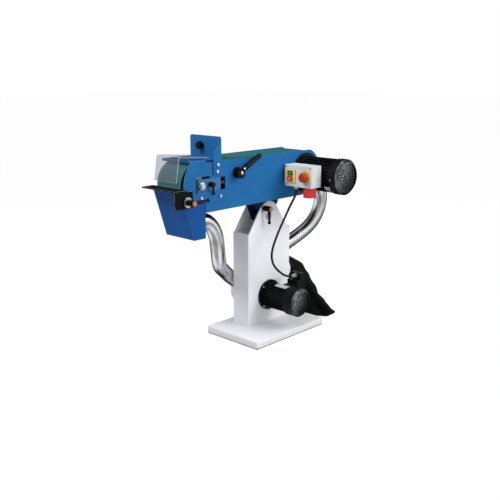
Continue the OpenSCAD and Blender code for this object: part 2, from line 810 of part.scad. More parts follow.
module tension_slide() {
  color("#2c6cae") difference() {
    union() {
      bx(slide_x0, slide_x1, slide_y0, slide_y1, slide_z0, slide_z0 + slide_h);
      bx(slide_x1 - slide_tail, slide_x1, slide_y0, belt_y0 + 11, wheel_z - 15, wheel_z + 15);
    }
    ycyl(wheel_x, wheel_z, axle_r + 0.02, slide_y0 - 1, slide_y1 + 1);
    ycyl(wheel_x + 50, wheel_z + 2, 4 + run, slide_y0 - 1, slide_y1 + 1);
  }
}

module wheel_axle() {
  color("#c9ccd0") {
    ycyl(wheel_x, wheel_z, axle_r, slide_y0 - 16, belt_y1 - 6);
    yhex(wheel_x, wheel_z, axle_r + 6, slide_y0 - 9, slide_y0);
  }
}

bear_r = 26;
bear_w = 15;

module wheel_bearings() {
  color("#a8acb0") for (y = [belt_y0 + 10, belt_y1 - 25])
    difference() {
      ycyl(wheel_x, wheel_z, bear_r, y, y + bear_w);
      ycyl(wheel_x, wheel_z, axle_r + 0.02, y - 1, y + bear_w + 1);
    }
}

module wheel_hub() {
  rim = wheel_r - tyre_t;
  color("#9aa0a5") yturn(wheel_x, wheel_z, belt_y0) polygon([[bear_r + 0.02, 6], [38, 6],
    [44, belt_w/2 - 12], [rim - 10, belt_w/2 - 12], [rim - 8, 0], [rim, 0], [rim, belt_w],
    [rim - 8, belt_w], [rim - 10, belt_w/2 + 12], [44, belt_w/2 + 12], [38, belt_w - 6],
    [bear_r + 0.02, belt_w - 6]]);
}

module wheel_tyre() {
  rim = wheel_r - tyre_t;
  color("#2a2a2c") yturn(wheel_x, wheel_z, belt_y0) polygon([[rim, 0], [wheel_r - 2, 0], [wheel_r, 2],
    [wheel_r, belt_w - 2], [wheel_r - 2, belt_w], [rim, belt_w]]);
}

spring_r = 9;
spring_wire = 1.4;
spring_curls = 7;
spring_y = belt_y0 - 1;
spring_x0 = slide_x1 + 0.1;
spring_l = cross_x - slide_x1 - 0.2 - 2*spring_wire;
spring_pitch = spring_l/spring_curls;
if (spring_pitch > 0) echo(least_gap = spring_pitch - 2*spring_wire - tension_travel/spring_curls);

module tension_spring() {
  n = 6;
  rings = 8*spring_curls + 1;
  pts = [for (i = [0:rings - 1])
    let (a = 45*i, x = spring_x0 + spring_wire + spring_l*i/(rings - 1), d = [0, cos(a), sin(a)])
    for (k = [0:n - 1])
      [x, spring_y, wheel_z] + (spring_r + spring_wire*cos(60*k))*d + [spring_wire*sin(60*k), 0, 0]];
  last = (rings - 1)*n;
  color("#8d9196") polyhedron(pts, concat(
    skin(0, rings, n, false),
    [[for (k = [0:n - 1]) n - 1 - k]],
    [[for (k = [0:n - 1]) last + k]]));
}

module tracking_lever() {
  x = wheel_x + 50;
  z = wheel_z + 2;
  color("#1b1c1e") {
    ycyl(x, z, 4, slide_y0 - 20, slide_y1 - 1);
    ycyl(x, z, 11, slide_y0 - 24, slide_y0 - slip);
    translate([x, slide_y0 - 16, z]) rotate([0, 168, 0]) cylinder(r1 = 5, r2 = 4, h = 38);
    translate([x + 40*sin(12), slide_y0 - 16, z - 40*cos(12)]) sphere(6);
  }
}

module rod_along(r, from, to) {
  translate([lever_x, rod_y, lever_z]) rotate([0, 90 - lever_a, 0])
    translate([0, 0, from]) cylinder(r = r, h = to - from);
}

module tension_lever() {
  color("#c9ccd0") {
    ycyl(lever_x, lever_z, 8, hy0 - lever_hub_l - 3, hy0 + plate_t + 2);
    rod_along(rod_r, 0, 78);
  }
}

module tension_hub() {
  color("#1b1c1e") difference() {
    ycyl(lever_x, lever_z, lever_hub_r, hy0 - lever_hub_l, hy0 - slip);
    ycyl(lever_x, lever_z, 8.02, hy0 - lever_hub_l - 1, hy0 + 1);
    rod_along(rod_r + 0.02, 0, lever_hub_r + 5);
  }
}

module tension_grip() {
  color("#1b1c1e") difference() {
    union() {
      rod_along(grip_r, 38, lever_l - 8);
      translate([lever_x, rod_y, lever_z]) rotate([0, 90 - lever_a, 0])
        translate([0, 0, lever_l - 8]) cylinder(r1 = grip_r, r2 = grip_r - 5, h = 8);
    }
    rod_along(rod_r + 0.02, 30, 78.1);
  }
}

// Tool rest and clamp levers

module tool_rest() {
  x0 = rest_x1 - rest_d;
  x1 = rest_stud_x + rest_travel + 12;
  y1 = rest_y0 + rest_w;
  side0 = rest_y0 - rest_side_t;
  color("#1e1f21") difference() {
    union() {
      bx(x0, rest_x1, side0, y1, rest_top - rest_t, rest_top);
      side(side0, rest_y0) polygon([[x0 - 3, rest_top], [x0 - 3, rest_top - 67], [x0 + 7, rest_top - 77],
        [x1 - 6, rest_top - 77], [x1, rest_top - 71], [x1, rest_top - rest_t],
        [rest_x1 - 2, rest_top - rest_t], [rest_x1 - 2, rest_top]]);
    }
    bx(rest_stud_x, rest_stud_x + rest_travel, side0 - 1, rest_y0 + 1,
      rest_stud_z - stud_r - slip, rest_stud_z + stud_r + slip);
    for (dx = [0, rest_travel])
      ycyl(rest_stud_x + dx, rest_stud_z, stud_r + slip, side0 - 1, rest_y0 + 1);
  }
}

module rest_lever() {
  face = rest_y0 - rest_side_t - slip;
  color("#1b1c1e") {
    ycyl(rest_stud_x, rest_stud_z, stud_r, face - 10, hy0);
    ycyl(rest_stud_x, rest_stud_z, 22, face - 4, face);
    ycyl(rest_stud_x, rest_stud_z, 13, face - 40, face - 3);
    translate([rest_stud_x, face - 32, rest_stud_z]) rotate([0, 88, 0])
      cylinder(r1 = 8, r2 = 5, h = clamp_l + 14);
    translate([rest_stud_x + clamp_l + 16, face - 32, rest_stud_z + 3]) sphere(8);
  }
}

module rest_cap() {
  face = rest_y0 - rest_side_t - slip;
  color("#e8641b") ycyl(rest_stud_x, rest_stud_z, 10.5, face - 45, face - 40);
}

module tilt_lever() {
  face = ear0 - slip;
  color("#1b1c1e") {
    ycyl(stud_x, stud_z, stud_r, face - 10, lug0 + lug_t);
    ycyl(stud_x, stud_z, 21, face - 4, face);
    ycyl(stud_x, stud_z, 13, face - 40, face - 3);
    translate([stud_x, face - 32, stud_z]) rotate([0, 180, 0]) cylinder(r1 = 8, r2 = 5, h = clamp_l - 4);
    translate([stud_x, face - 32, stud_z - clamp_l]) sphere(8);
  }
}

module tilt_cap() {
  face = ear0 - slip;
  color("#e8641b") ycyl(stud_x, stud_z, 10.5, face - 45, face - 40);
}

// Drive

module motor_frame() {
  color("#26272a") difference() {
    union() {
      ycyl(drive_x, drive_z, motor_flange, hy0 - 8, hy0);
      ycyl(drive_x, drive_z, 59.9, hy0 - 1, hy0 + plate_t);
      ycyl(drive_x, drive_z, motor_r + 1, hy0 - 30, hy0 - 7);
      barrel(drive_x, drive_z, motor_r, 8, 32, motor_y1 + cowl_l - 8, hy0 - 25);
      ycyl(drive_x, drive_z, cowl_r - cowl_t - seat, motor_y1 + cowl_l - 10, motor_y1 + cowl_l + 3);
    }
    ycyl(drive_x, drive_z, shaft_r + run, motor_y1, hy0 + plate_t + 1);
  }
}

module motor_cowl() {
  color("#1d1e20") cowl(drive_x, drive_z, cowl_r, motor_y1, motor_y1 + cowl_l);
}

module motor_shaft() {
  color("#a8acb0") ycyl(drive_x, drive_z, shaft_r, motor_y1 + 16, belt_y1 - 20);
}

module drive_pulley() {
  color("#8f959b") yturn(drive_x, drive_z, belt_y0) polygon([[shaft_r + 0.02, 4], [36, 4],
    [40, belt_w/2 - 10], [wheel_r - 10, belt_w/2 - 10], [wheel_r - 8, 0], [wheel_r, 0],
    [wheel_r, belt_w], [wheel_r - 8, belt_w], [wheel_r - 10, belt_w/2 + 10], [40, belt_w/2 + 10],
    [36, belt_w - 16], [shaft_r + 0.02, belt_w - 16]]);
}

// Switch box

module switch_box() {
  color("#c9cdd0") difference() {
    union() {
      bx(box_x0, box_x1, box_y0, box_y1, box_z0, box_z1);
      bx(box_x0 + 10, box_x0 + 46, box_y1 - 1, hy0, box_z0 + 15, box_z1 - 15);
    }
    bx(box_x0 - 1, box_x1 - 3, box_y0 + 3, box_y1 - 3, box_z0 + 3, box_z1 - 3);
    translate([gland_x, gland_y, box_z0 - 1]) cylinder(r = cable_r + 0.6, h = 5);
  }
}

module switch_box_lid() {
  color("#d6d9db") bx(lid_x, box_x0, box_y0, box_y1, box_z0, box_z1);
}

button_w = 30;
button_h = 21;

module button(z, x0) {
  bx(x0, lid_x - press - slip, sw_y - button_w/2, sw_y + button_w/2, z - button_h/2, z + button_h/2);
}

module switch_frame() {
  color("#e6b91e") difference() {
    bx(frame_x, lid_x, sw_y - 28, sw_y + 28, sw_z - 30, sw_z + 30);
    for (z = [sw_z - 13, sw_z + 13])
      bx(frame_x - 1, lid_x + 1, sw_y - button_w/2 - slip, sw_y + button_w/2 + slip,
        z - button_h/2 - slip, z + button_h/2 + slip);
  }
}

module start_button() {
  color("#1d7a3e") button(sw_z + 13, frame_x - press - 1);
}

module stop_button() {
  color("#b3202a") button(sw_z - 13, frame_x - press - 3);
}

module estop_collar() {
  color("#e6b91e") difference() {
    xcyl(estop_y, sw_z, 27.5, frame_x, lid_x);
    xcyl(estop_y, sw_z, 15 + slip, frame_x - 1, lid_x + 1);
  }
}

module estop_button() {
  head = frame_x - estop_press - 2;
  color("#c4261f") {
    xcyl(estop_y, sw_z, 15, head - 2, lid_x - estop_press - slip);
    xcyl(estop_y, sw_z, 22, head - 14, head);
    translate([head - 20, estop_y, sw_z]) rotate([0, 90, 0]) cylinder(r1 = 15, r2 = 22, h = 6);
  }
}

module power_inlet() {
  color("#c8332f") {
    difference() {
      translate([inlet_x, inlet_y, box_z0 - inlet_l]) cylinder(r = inlet_r, h = inlet_l);
      translate([inlet_x, inlet_y, box_z0 - inlet_l - 1]) cylinder(r = inlet_r - 4.5, h = inlet_l - 11);
    }
    for (a = [0:72:288])
      translate([inlet_x + 15*cos(a), inlet_y + 15*sin(a), box_z0 - inlet_l + 8])
        cylinder(r = 3, h = inlet_l - 18);
  }
}

module box_gland() {
  color("#c3c6c8") difference() {
    union() {
      translate([gland_x, gland_y, box_z0 - 9]) cylinder(r = gland_r, h = 9);
      translate([gland_x, gland_y, box_z0 - 18]) cylinder(r1 = 8.5, r2 = 10, h = 10);
    }
    translate([gland_x, gland_y, box_z0 - 20]) cylinder(r = cable_r + 0.6, h = 22);
  }
}

rubber_mat();
base_plate();
column();
pivot_bolt();
fan_motor_frame();
fan_motor_cowl();
fan_terminal_box();
fan_gland();
fan_flange_bolts();
fan_shaft();
fan_impeller();
fan_inlet_manifold();
dust_bag();
bag_clamp();
front_hose();
rear_hose();
stand_hose_clamps();
motor_cable();
head_frame();
belt_cover();
rear_guard();
contact_side_plate();
head_fasteners();
pivot_bracket();
platen();
abrasive_belt();
spark_hopper();
head_hose_clamps();
stop_bracket();
wheel_guard();
visor();
visor_knob();
tension_slide();
wheel_axle();
wheel_bearings();
wheel_hub();
wheel_tyre();
tension_spring();
tracking_lever();
tension_lever();
tension_hub();
tension_grip();
tool_rest();
rest_lever();
rest_cap();
tilt_lever();
tilt_cap();
motor_frame();
motor_cowl();
motor_shaft();
drive_pulley();
switch_box();
switch_box_lid();
switch_frame();
start_button();
stop_button();
estop_collar();
estop_button();
power_inlet();
box_gland();
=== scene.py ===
# Pedestal belt grinding machine with its own dust fan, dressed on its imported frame.
# Metres, +Z up: X runs to the rear and Y to the far side.
import json
import math

import bmesh
import bpy
from mathutils import Matrix, Vector, geometry, noise

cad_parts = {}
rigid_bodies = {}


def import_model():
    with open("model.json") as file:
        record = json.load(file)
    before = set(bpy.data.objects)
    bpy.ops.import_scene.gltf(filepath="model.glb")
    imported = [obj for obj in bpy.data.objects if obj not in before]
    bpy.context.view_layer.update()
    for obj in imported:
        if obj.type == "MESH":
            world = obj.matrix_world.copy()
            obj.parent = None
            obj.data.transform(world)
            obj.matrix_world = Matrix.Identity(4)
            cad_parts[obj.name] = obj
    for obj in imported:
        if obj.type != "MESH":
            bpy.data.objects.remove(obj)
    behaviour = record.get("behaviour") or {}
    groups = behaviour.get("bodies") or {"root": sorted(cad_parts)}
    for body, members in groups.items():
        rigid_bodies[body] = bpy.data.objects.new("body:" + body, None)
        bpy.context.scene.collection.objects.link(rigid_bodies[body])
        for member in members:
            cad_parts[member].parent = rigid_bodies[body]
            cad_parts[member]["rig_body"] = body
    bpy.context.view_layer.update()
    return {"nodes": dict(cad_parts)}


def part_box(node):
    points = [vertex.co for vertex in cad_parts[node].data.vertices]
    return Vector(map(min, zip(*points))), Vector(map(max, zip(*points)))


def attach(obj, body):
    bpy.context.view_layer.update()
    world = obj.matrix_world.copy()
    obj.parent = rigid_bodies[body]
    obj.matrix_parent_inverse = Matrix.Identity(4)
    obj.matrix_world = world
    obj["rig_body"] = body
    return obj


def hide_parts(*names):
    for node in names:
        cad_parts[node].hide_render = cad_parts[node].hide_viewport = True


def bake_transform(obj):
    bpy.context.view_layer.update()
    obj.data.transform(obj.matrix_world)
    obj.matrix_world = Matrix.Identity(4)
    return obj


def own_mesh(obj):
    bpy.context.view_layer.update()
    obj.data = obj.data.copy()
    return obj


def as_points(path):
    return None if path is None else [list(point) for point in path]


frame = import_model()
scene = bpy.context.scene
scene.view_settings.view_transform = "Standard"

# Camera. It stands three metres off to the front left of the machine, at chest height,
# with the lens, the tip and the turn that the photograph's own perspective gives.
focal_pixels = 723.68
picture_pixels = 500
sensor_mm = 36.0
camera_place = (-2.4844, -2.2593, 1.2372)
camera_tip = 0.2452
camera_turn = 0.8095

camera = bpy.data.objects.new("camera", bpy.data.cameras.new("camera"))
camera.data.sensor_width = sensor_mm
camera.data.lens = sensor_mm * focal_pixels / picture_pixels
camera.location = camera_place
camera.rotation_euler = (math.pi / 2 - camera_tip, 0, -camera_turn)
scene.collection.objects.link(camera)
scene.camera = camera


# Studio. A plain pale floor lies under soft boxes in a white room, and both show white to the eye. What the
# machine's metal mirrors is a dark wall behind it, a grey one before it and a white sheet at its foot.
class Wire:
    """An output socket of a node. Sums written on it add Math nodes to its web."""

    def __init__(self, web, socket):
        self.web = web
        self.socket = socket

    def math(self, operation, first, second=0.0):
        return self.web.node("ShaderNodeMath", {"operation": operation}, {0: first, 1: second})

    def __add__(self, other):
        return self.math("ADD", self, other)

    def __sub__(self, other):
        return self.math("SUBTRACT", self, other)

    def __rsub__(self, other):
        return self.math("SUBTRACT", other, self)

    def __mul__(self, other):
        return self.math("MULTIPLY", self, other)

    def __truediv__(self, other):
        return self.math("DIVIDE", self, other)

    __radd__ = __add__
    __rmul__ = __mul__


class Web:
    """A node tree being built: node() adds any node, sets it up and joins its sockets."""

    def __init__(self, tree):
        self.tree = tree

    def feed(self, node, sockets):
        for name, value in sockets.items():
            if isinstance(value, Wire):
                self.tree.links.new(value.socket, node.inputs[name])
            else:
                node.inputs[name].default_value = value

    def node(self, kind, settings=None, sockets=None, out=0):
        made = self.tree.nodes.new(kind)
        for name, value in (settings or {}).items():
            setattr(made, name, value)
        self.feed(made, sockets or {})
        return Wire(self, made.outputs[out])

    def step(self, value, low, high):
        """0 below low and 1 above high, with a smooth rise between them."""
        return self.node("ShaderNodeMapRange", {"interpolation_type": "SMOOTHSTEP"},
                         {"Value": value, "From Min": low, "From Max": high})


def seen_rays(web):
    """1 on the rays that show the background itself: to the eye or through glass."""
    eye = web.node("ShaderNodeLightPath", out="Is Camera Ray")
    glass = web.node("ShaderNodeLightPath", out="Is Transmission Ray")
    return eye.math("MINIMUM", eye + glass, 1.0)


room_light = 0.88
room_shade = 0.1
mirror_least = 0.04
far_floor_share = 0.2
floor_half = 30.0
floor_white_share = 0.9
floor_white = 1.06
floor_grey = (0.6, 0.6, 0.6, 1)

room = bpy.data.worlds.new("room")
room.use_nodes = True
scene.world = room
room_web = Web(room.node_tree)
seen = seen_rays(room_web)
mirrored = room_web.node("ShaderNodeLightPath", out="Is Glossy Ray")
room_way = room_web.node("ShaderNodeTexCoord", out="Generated")
east, north, up = [room_web.node("ShaderNodeSeparateXYZ", {}, {"Vector": room_way}, out=axis)
                   for axis in "XYZ"]
level = east.math("SQRT", east * east + north * north)


def towards(x, y):
    """1 where the room is seen straight along (x, y), whatever the height, and 0 square to it."""
    return (east * x + north * y) / level


bright_side = room_web.step(east * 0.35 - north * 0.75 + up * 0.55, -0.2, 0.8)
room_glow = room_light * (room_shade + bright_side * (1 - room_shade))
dark_wall = room_web.step(towards(0.84, 0.54), 0.48, 0.7)
grey_wall = room_web.step(towards(-0.95, -0.31), 0.62, 0.86)
dim_corner = room_web.step(towards(-0.69, 0.72), 0.5, 0.8) * room_web.step(up, 0.1, 0.4)
walls = 1 - (dark_wall * 0.95 + grey_wall * 0.6 + dim_corner * 0.85)
white_sheet = (1 - room_web.step(up, -0.6, -0.45)) * (1 - room_web.step(towards(1, 0), 0.45, 0.7))
lit_share = walls.math("MAXIMUM", room_web.step(up, -0.4, -0.2), white_sheet)
floor_share = far_floor_share + lit_share * (1 - far_floor_share)
room_mirror = walls.math("MAXIMUM", walls, mirror_least) * floor_share
room_web.feed(room.node_tree.nodes["Background"], {
    "Color": (1, 1, 1, 1),
    "Strength": seen + (1 - seen) * (mirrored * room_mirror + (1 - mirrored) * room_glow),
})

floor_paint = bpy.data.materials.new("studio_floor")
floor_paint.use_nodes = True
floor_web = Web(floor_paint.node_tree)
floor_web.feed(floor_paint.node_tree.nodes["Material Output"], {
    "Surface": floor_web.node("ShaderNodeMixShader", {}, {
        0: seen_rays(floor_web) * floor_white_share,
        1: floor_web.node("ShaderNodeMixShader", {}, {
            0: floor_web.node("ShaderNodeLightPath", out="Is Glossy Ray"),
            1: floor_web.node("ShaderNodeBsdfDiffuse", {}, {"Color": floor_grey}),
            2: floor_web.node("ShaderNodeBsdfTransparent"),
        }),
        2: floor_web.node("ShaderNodeEmission", {}, {"Color": (1, 1, 1, 1), "Strength": floor_white}),
    }),
})
floor_mesh = bpy.data.meshes.new("studio_floor")
floor_corners = [(-1, -1), (1, -1), (1, 1), (-1, 1)]
floor_mesh.from_pydata([(floor_half * x, floor_half * y, 0) for x, y in floor_corners], [], [(0, 1, 2, 3)])
floor_mesh.materials.append(floor_paint)
floor = bpy.data.objects.new("studio_floor", floor_mesh)
scene.collection.objects.link(floor)

soft_boxes = [
    ("key_light", (1.3, -2.7, 2.3), 1.7, 72.0),
    ("front_light", (-2.3, 0.3, 2.8), 1.2, 72.0),
    ("top_light", (0.2, 0.5, 2.9), 1.8, 4.0),
]
light_target = Vector((0, 0, 0.55))
for name, place, width, watts in soft_boxes:
    lamp = bpy.data.objects.new(name, bpy.data.lights.new(name, "AREA"))
    lamp.data.size = width
    lamp.data.energy = watts
    lamp.location = place
    lamp.rotation_euler = (light_target - lamp.location).to_track_quat("-Z", "Y").to_euler()
    scene.collection.objects.link(lamp)


# Rubber mat. A black rubber sheet lies under the base so that it doesn't walk or ring.
# It is cut a little smaller than the base and only its edge shows.
def tint(code):
    """The linear colour of a six-figure screen colour."""
    shares = [int(code[i:i + 2], 16) / 255 for i in (0, 2, 4)]
    return tuple(c / 12.92 if c < 0.04045 else ((c + 0.055) / 1.055) ** 2.4 for c in shares) + (1.0,)


class Finish(Web):
    """A surface: one Principled shader with its fixed numbers, and the nodes that vary it."""

    def __init__(self, name, fixed):
        self.material = bpy.data.materials.new(name)
        self.material.use_nodes = True
        super().__init__(self.material.node_tree)
        self.shader = self.tree.nodes["Principled BSDF"]
        self.spot = self.node("ShaderNodeTexCoord", out="Object")
        self.paint(fixed)

    def paint(self, sockets):
        self.feed(self.shader, sockets)

    def noise(self, scale, detail=2.0, stretch=(1, 1, 1)):
        spot = self.node("ShaderNodeMapping", {}, {"Vector": self.spot, "Scale": stretch})
        return self.node("ShaderNodeTexNoise", {}, {"Vector": spot, "Scale": scale, "Detail": detail})

    def mix(self, share, first, second):
        return self.node("ShaderNodeMix", {"data_type": "RGBA"}, {0: share, 6: first, 7: second}, out=2)

    def axis(self, name):
        return self.node("ShaderNodeSeparateXYZ", {}, {"Vector": self.spot}, out=name)

    def corners(self):
        """1 on the rounded corners of a softened piece, 0 elsewhere."""
        return self.node("ShaderNodeAttribute", {"attribute_name": "corner"}, out="Fac")

    def rubbed(self, scale, detail, low, high):
        """How far those corners are worn: in patches of a noise, which begin at low and are bare at high."""
        return self.corners() * self.step(self.noise(scale, detail), low, high)

    def relief(self, height, depth):
        self.paint({"Normal": self.node("ShaderNodeBump", {}, {"Height": height, "Distance": depth})})


corner_degrees = 35.0


def make_piece(name, shape, finish, body, sharp=corner_degrees):
    """Turns a bmesh into a piece on a body, smooth except at its sharp corners."""
    mesh = bpy.data.meshes.new(name)
    shape.to_mesh(mesh)
    shape.free()
    for stale in ("custom_normal", "sharp_face", "sharp_edge"):
        if stale in mesh.attributes:
            mesh.attributes.remove(mesh.attributes[stale])
    mesh.materials.append(finish.material)
    mesh.shade_smooth()
    mesh.set_sharp_from_angle(angle=math.radians(sharp))
    piece = bpy.data.objects.new(name, mesh)
    scene.collection.objects.link(piece)
    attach(piece, body)
    return piece


def round_corners(shape, width, steps=2):
    """Rounds the sharp convex corners of a bmesh and marks the new faces."""
    mark = shape.faces.layers.float.get("corner") or shape.faces.layers.float.new("corner")
    sharp = [edge for edge in shape.edges
             if edge.is_manifold and edge.is_convex and edge.calc_face_angle() > math.radians(corner_degrees)]
    made = bmesh.ops.bevel(shape, geom=sharp, offset=width, offset_type="OFFSET", segments=steps,
                           profile=0.5, affect="EDGES", clamp_overlap=True)
    for face in made["faces"]:
        face[mark] = 1.0


def flat_faces_first(piece):
    """Lets the large faces set the shading, so that only the rounded corners shade round."""
    weigh = piece.modifiers.new("weigh", "WEIGHTED_NORMAL")
    weigh.keep_sharp = True
    graph = bpy.context.evaluated_depsgraph_get()
    mesh = bpy.data.meshes.new_from_object(piece.evaluated_get(graph))
    piece.modifiers.remove(weigh)
    piece.data = mesh


def soften(node, width, finish, steps=2, trims=()):
    """A copy of a CAD node with rounded corners, in the node's place. trims lists (finish, rule):
    faces that meet a rule get that other finish."""
    shape = bmesh.new()
    shape.from_mesh(frame["nodes"][node].data)
    bmesh.ops.remove_doubles(shape, verts=shape.verts, dist=1e-6)
    bmesh.ops.dissolve_limit(shape, angle_limit=math.radians(0.5), verts=shape.verts, edges=shape.edges)
    round_corners(shape, width, steps)
    piece = make_piece(node + "_finished", shape, finish, frame["nodes"][node]["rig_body"])
    for number, (other, rule) in enumerate(trims, 1):
        piece.data.materials.append(other.material)
        for face in piece.data.polygons:
            if rule([piece.data.vertices[k].co for k in face.vertices]):
                face.material_index = number
    flat_faces_first(piece)
    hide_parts(node)


def coat(node, finish):
    """Gives a CAD node that stays as it is its finish."""
    for place in frame["nodes"][node].material_slots:
        place.material = finish.material


rubber = Finish("rubber_mat", {"Roughness": 0.85, "Specular IOR Level": 0.15})
rubber_dust = rubber.noise(35, 4)
rubber.paint({"Base Color": rubber.mix(rubber_dust * 0.5, tint("17181a"), tint("3a3b3b"))})
rubber.relief(rubber.noise(900), 0.0003)
soften("rubber_mat", 0.0012, rubber)

# Base and column. Both are folded and welded steel sheet in an off-white fine-textured powder coat.
# The column is welded to the base all round its foot, and its two ears carry the head's pivot.
coat_grain = 1400
coat_depth = 0.00016
foot_grime_height = 0.05

white = Finish("white_powder_coat", {"Specular IOR Level": 0.45})
white_patches = white.noise(11, 3)
white_grime = (1 - white.step(white.axis("Z"), 0.0, foot_grime_height)) * white.noise(70, 5)
white_rub = white.rubbed(45, 4, 0.5, 0.7)
white_colour = white.mix(white_patches, tint("eaebf0"), tint("e2e4ea"))
white_colour = white.mix(white_grime * 0.8, white_colour, tint("b4b2ab"))
white.paint({
    "Base Color": white.mix(white_rub * 0.4, white_colour, tint("c3c6c6")),
    "Roughness": 0.46 + white_patches * 0.14,
})
white.relief(white.noise(coat_grain, 1), coat_depth)
soften("base_plate", 0.0018, white, 3)
soften("column", 0.0015, white, 3)


class Pattern(Web):
    """A Geometry Nodes tree with named inputs. grow() runs it on guide points and keeps the mesh."""

    kinds = {float: "NodeSocketFloat", int: "NodeSocketInt"}

    def __init__(self, name, **sizes):
        super().__init__(bpy.data.node_groups.new(name, "GeometryNodeTree"))
        face = self.tree.interface
        face.new_socket("Guide", in_out="INPUT", socket_type="NodeSocketGeometry")
        face.new_socket("Shape", in_out="OUTPUT", socket_type="NodeSocketGeometry")
        self.keys = {}
        for size, kind in {"Finish": "NodeSocketMaterial", **sizes}.items():
            socket = face.new_socket(size, in_out="INPUT", socket_type=self.kinds.get(kind, kind))
            self.keys[size] = socket.identifier
        self.given = self.tree.nodes.new("NodeGroupInput")

    def size(self, name):
        return Wire(self, self.given.outputs[name])

    def end(self, shape):
        smooth = self.node("GeometryNodeSetShadeSmooth", {}, {"Geometry": shape})
        whole = self.node("GeometryNodeRealizeInstances", {}, {"Geometry": smooth})
        painted = self.node("GeometryNodeSetMaterial", {}, {
            "Geometry": whole, "Material": self.size("Finish")})
        self.feed(self.tree.nodes.new("NodeGroupOutput"), {"Shape": painted})

    def grow(self, name, points, finish, body, slot, closed=False, facing=None,
             sharp=corner_degrees, **sizes):
        """points are the guide's places, joined in a line; facing gives each point a direction.
        A piece without a body is left unattached."""
        guide = bpy.data.meshes.new(name)
        joins = [] if facing else [(i, i + 1) for i in range(len(points) - 1)]
        guide.from_pydata([tuple(p) for p in points], joins + ([(len(points) - 1, 0)] if closed else []), [])
        if facing:
            guide.attributes.new("facing", "FLOAT_VECTOR", "POINT").data.foreach_set(
                "vector", [share for way in facing for share in way])
        piece = bpy.data.objects.new(name, guide)
        scene.collection.objects.link(piece)
        grower = piece.modifiers.new(self.tree.name, "NODES")
        grower.node_group = self.tree
        grower[self.keys["Finish"]] = finish.material
        for size, value in sizes.items():
            grower[self.keys[size]] = value
        graph = bpy.context.evaluated_depsgraph_get()
        mesh = bpy.data.meshes.new_from_object(piece.evaluated_get(graph))
        piece.modifiers.remove(grower)
        piece.data = mesh
        mesh.set_sharp_from_angle(angle=math.radians(sharp))
        if body:
            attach(piece, body)
        return piece


weld_size = 0.0042
weld_step = 0.0035
column_length = 0.296
column_fold = 0.006
fold_steps = 5

weld = Pattern("weld_seam", Step=float, Size=float)
weld_line = weld.node("GeometryNodeResampleCurve", {"mode": "LENGTH"}, {
    "Curve": weld.node("GeometryNodeMeshToCurve", {}, {"Mesh": weld.size("Guide")}),
    "Length": weld.size("Step"),
})
weld.end(weld.node("GeometryNodeInstanceOnPoints", {}, {
    "Points": weld.node("GeometryNodeCurveToPoints", {"mode": "EVALUATED"}, {"Curve": weld_line}),
    "Instance": weld.node("GeometryNodeMeshIcoSphere", {}, {"Radius": weld.size("Size"), "Subdivisions": 2}),
}))

column_low, column_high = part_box("column")
base_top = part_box("base_plate")[1].z
column_rear = column_low.x + column_length
foot = []
for x, y, start in (
        (column_rear - column_fold, column_low.y + column_fold, -90),
        (column_rear - column_fold, column_high.y - column_fold, 0),
        (column_low.x + column_fold, column_high.y - column_fold, 90),
        (column_low.x + column_fold, column_low.y + column_fold, 180)):
    for turn in (math.radians(start + 90 * k / fold_steps) for k in range(fold_steps + 1)):
        foot.append((x + column_fold * math.cos(turn), y + column_fold * math.sin(turn), base_top))
weld.grow("foot_weld", foot, white, "stand", "stand_white", closed=True, Step=weld_step, Size=weld_size)


# Pivot bolt. A zinc-plated hexagon bolt with a nut on the far side runs through both ears
# and the head's bracket, and the head tilts on it.
def two_tone(name, fixed, grain, shades, rough):
    """A finish that drifts between two shades over one noise; rough gives its least roughness
    and how far that rises with the noise."""
    finish = Finish(name, fixed)
    drift = finish.noise(*grain)
    finish.paint({
        "Base Color": finish.mix(drift, *[tint(shade) for shade in shades]),
        "Roughness": rough[0] + drift * rough[1],
    })
    return finish


metal = {"Metallic": 1.0}
zinc = two_tone("zinc_plate", metal, (120, 4), ("d3d6d9", "a9adb2"), (0.24, 0.2))
zinc.relief(zinc.noise(1500), 0.00006)
soften("pivot_bolt", 0.0008, zinc)

# Fan motor. A small flange motor with a finned aluminium barrel under black enamel is bolted to the
# column's near side; a pressed steel cowl covers its cooling fan and a box takes its lead.
enamel = Finish("black_motor_enamel", {"Specular IOR Level": 0.12})
enamel_patches = enamel.noise(40, 3)
enamel_rub = enamel.rubbed(90, 4, 0.42, 0.68)
enamel.paint({
    "Base Color": enamel.mix(enamel_rub * 0.4, enamel.mix(enamel_patches, tint("060607"), tint("0d0e0f")),
                             tint("4d5055")),
    "Roughness": 0.34 + enamel_patches * 0.16,
})
enamel.relief(enamel.noise(700, 2), 0.00022)

steel = two_tone("turned_steel", metal, (260, 3, (1, 0.05, 1)), ("b9bdc1", "8d9298"), (0.26, 0.18))
alloy = two_tone("cast_alloy", metal, (420, 4), ("b4b8bc", "92979c"), (0.42, 0.16))
alloy.relief(alloy.noise(420, 4), 0.0002)
soften("fan_motor_frame", 0.0005, enamel, 1)

rim_share = 0.16
rim_margin = 0.001
bar_flatness = 0.0009


def middle_of(node):
    """The middle of a CAD node's box."""
    low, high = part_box(node)
    return (low + high) / 2


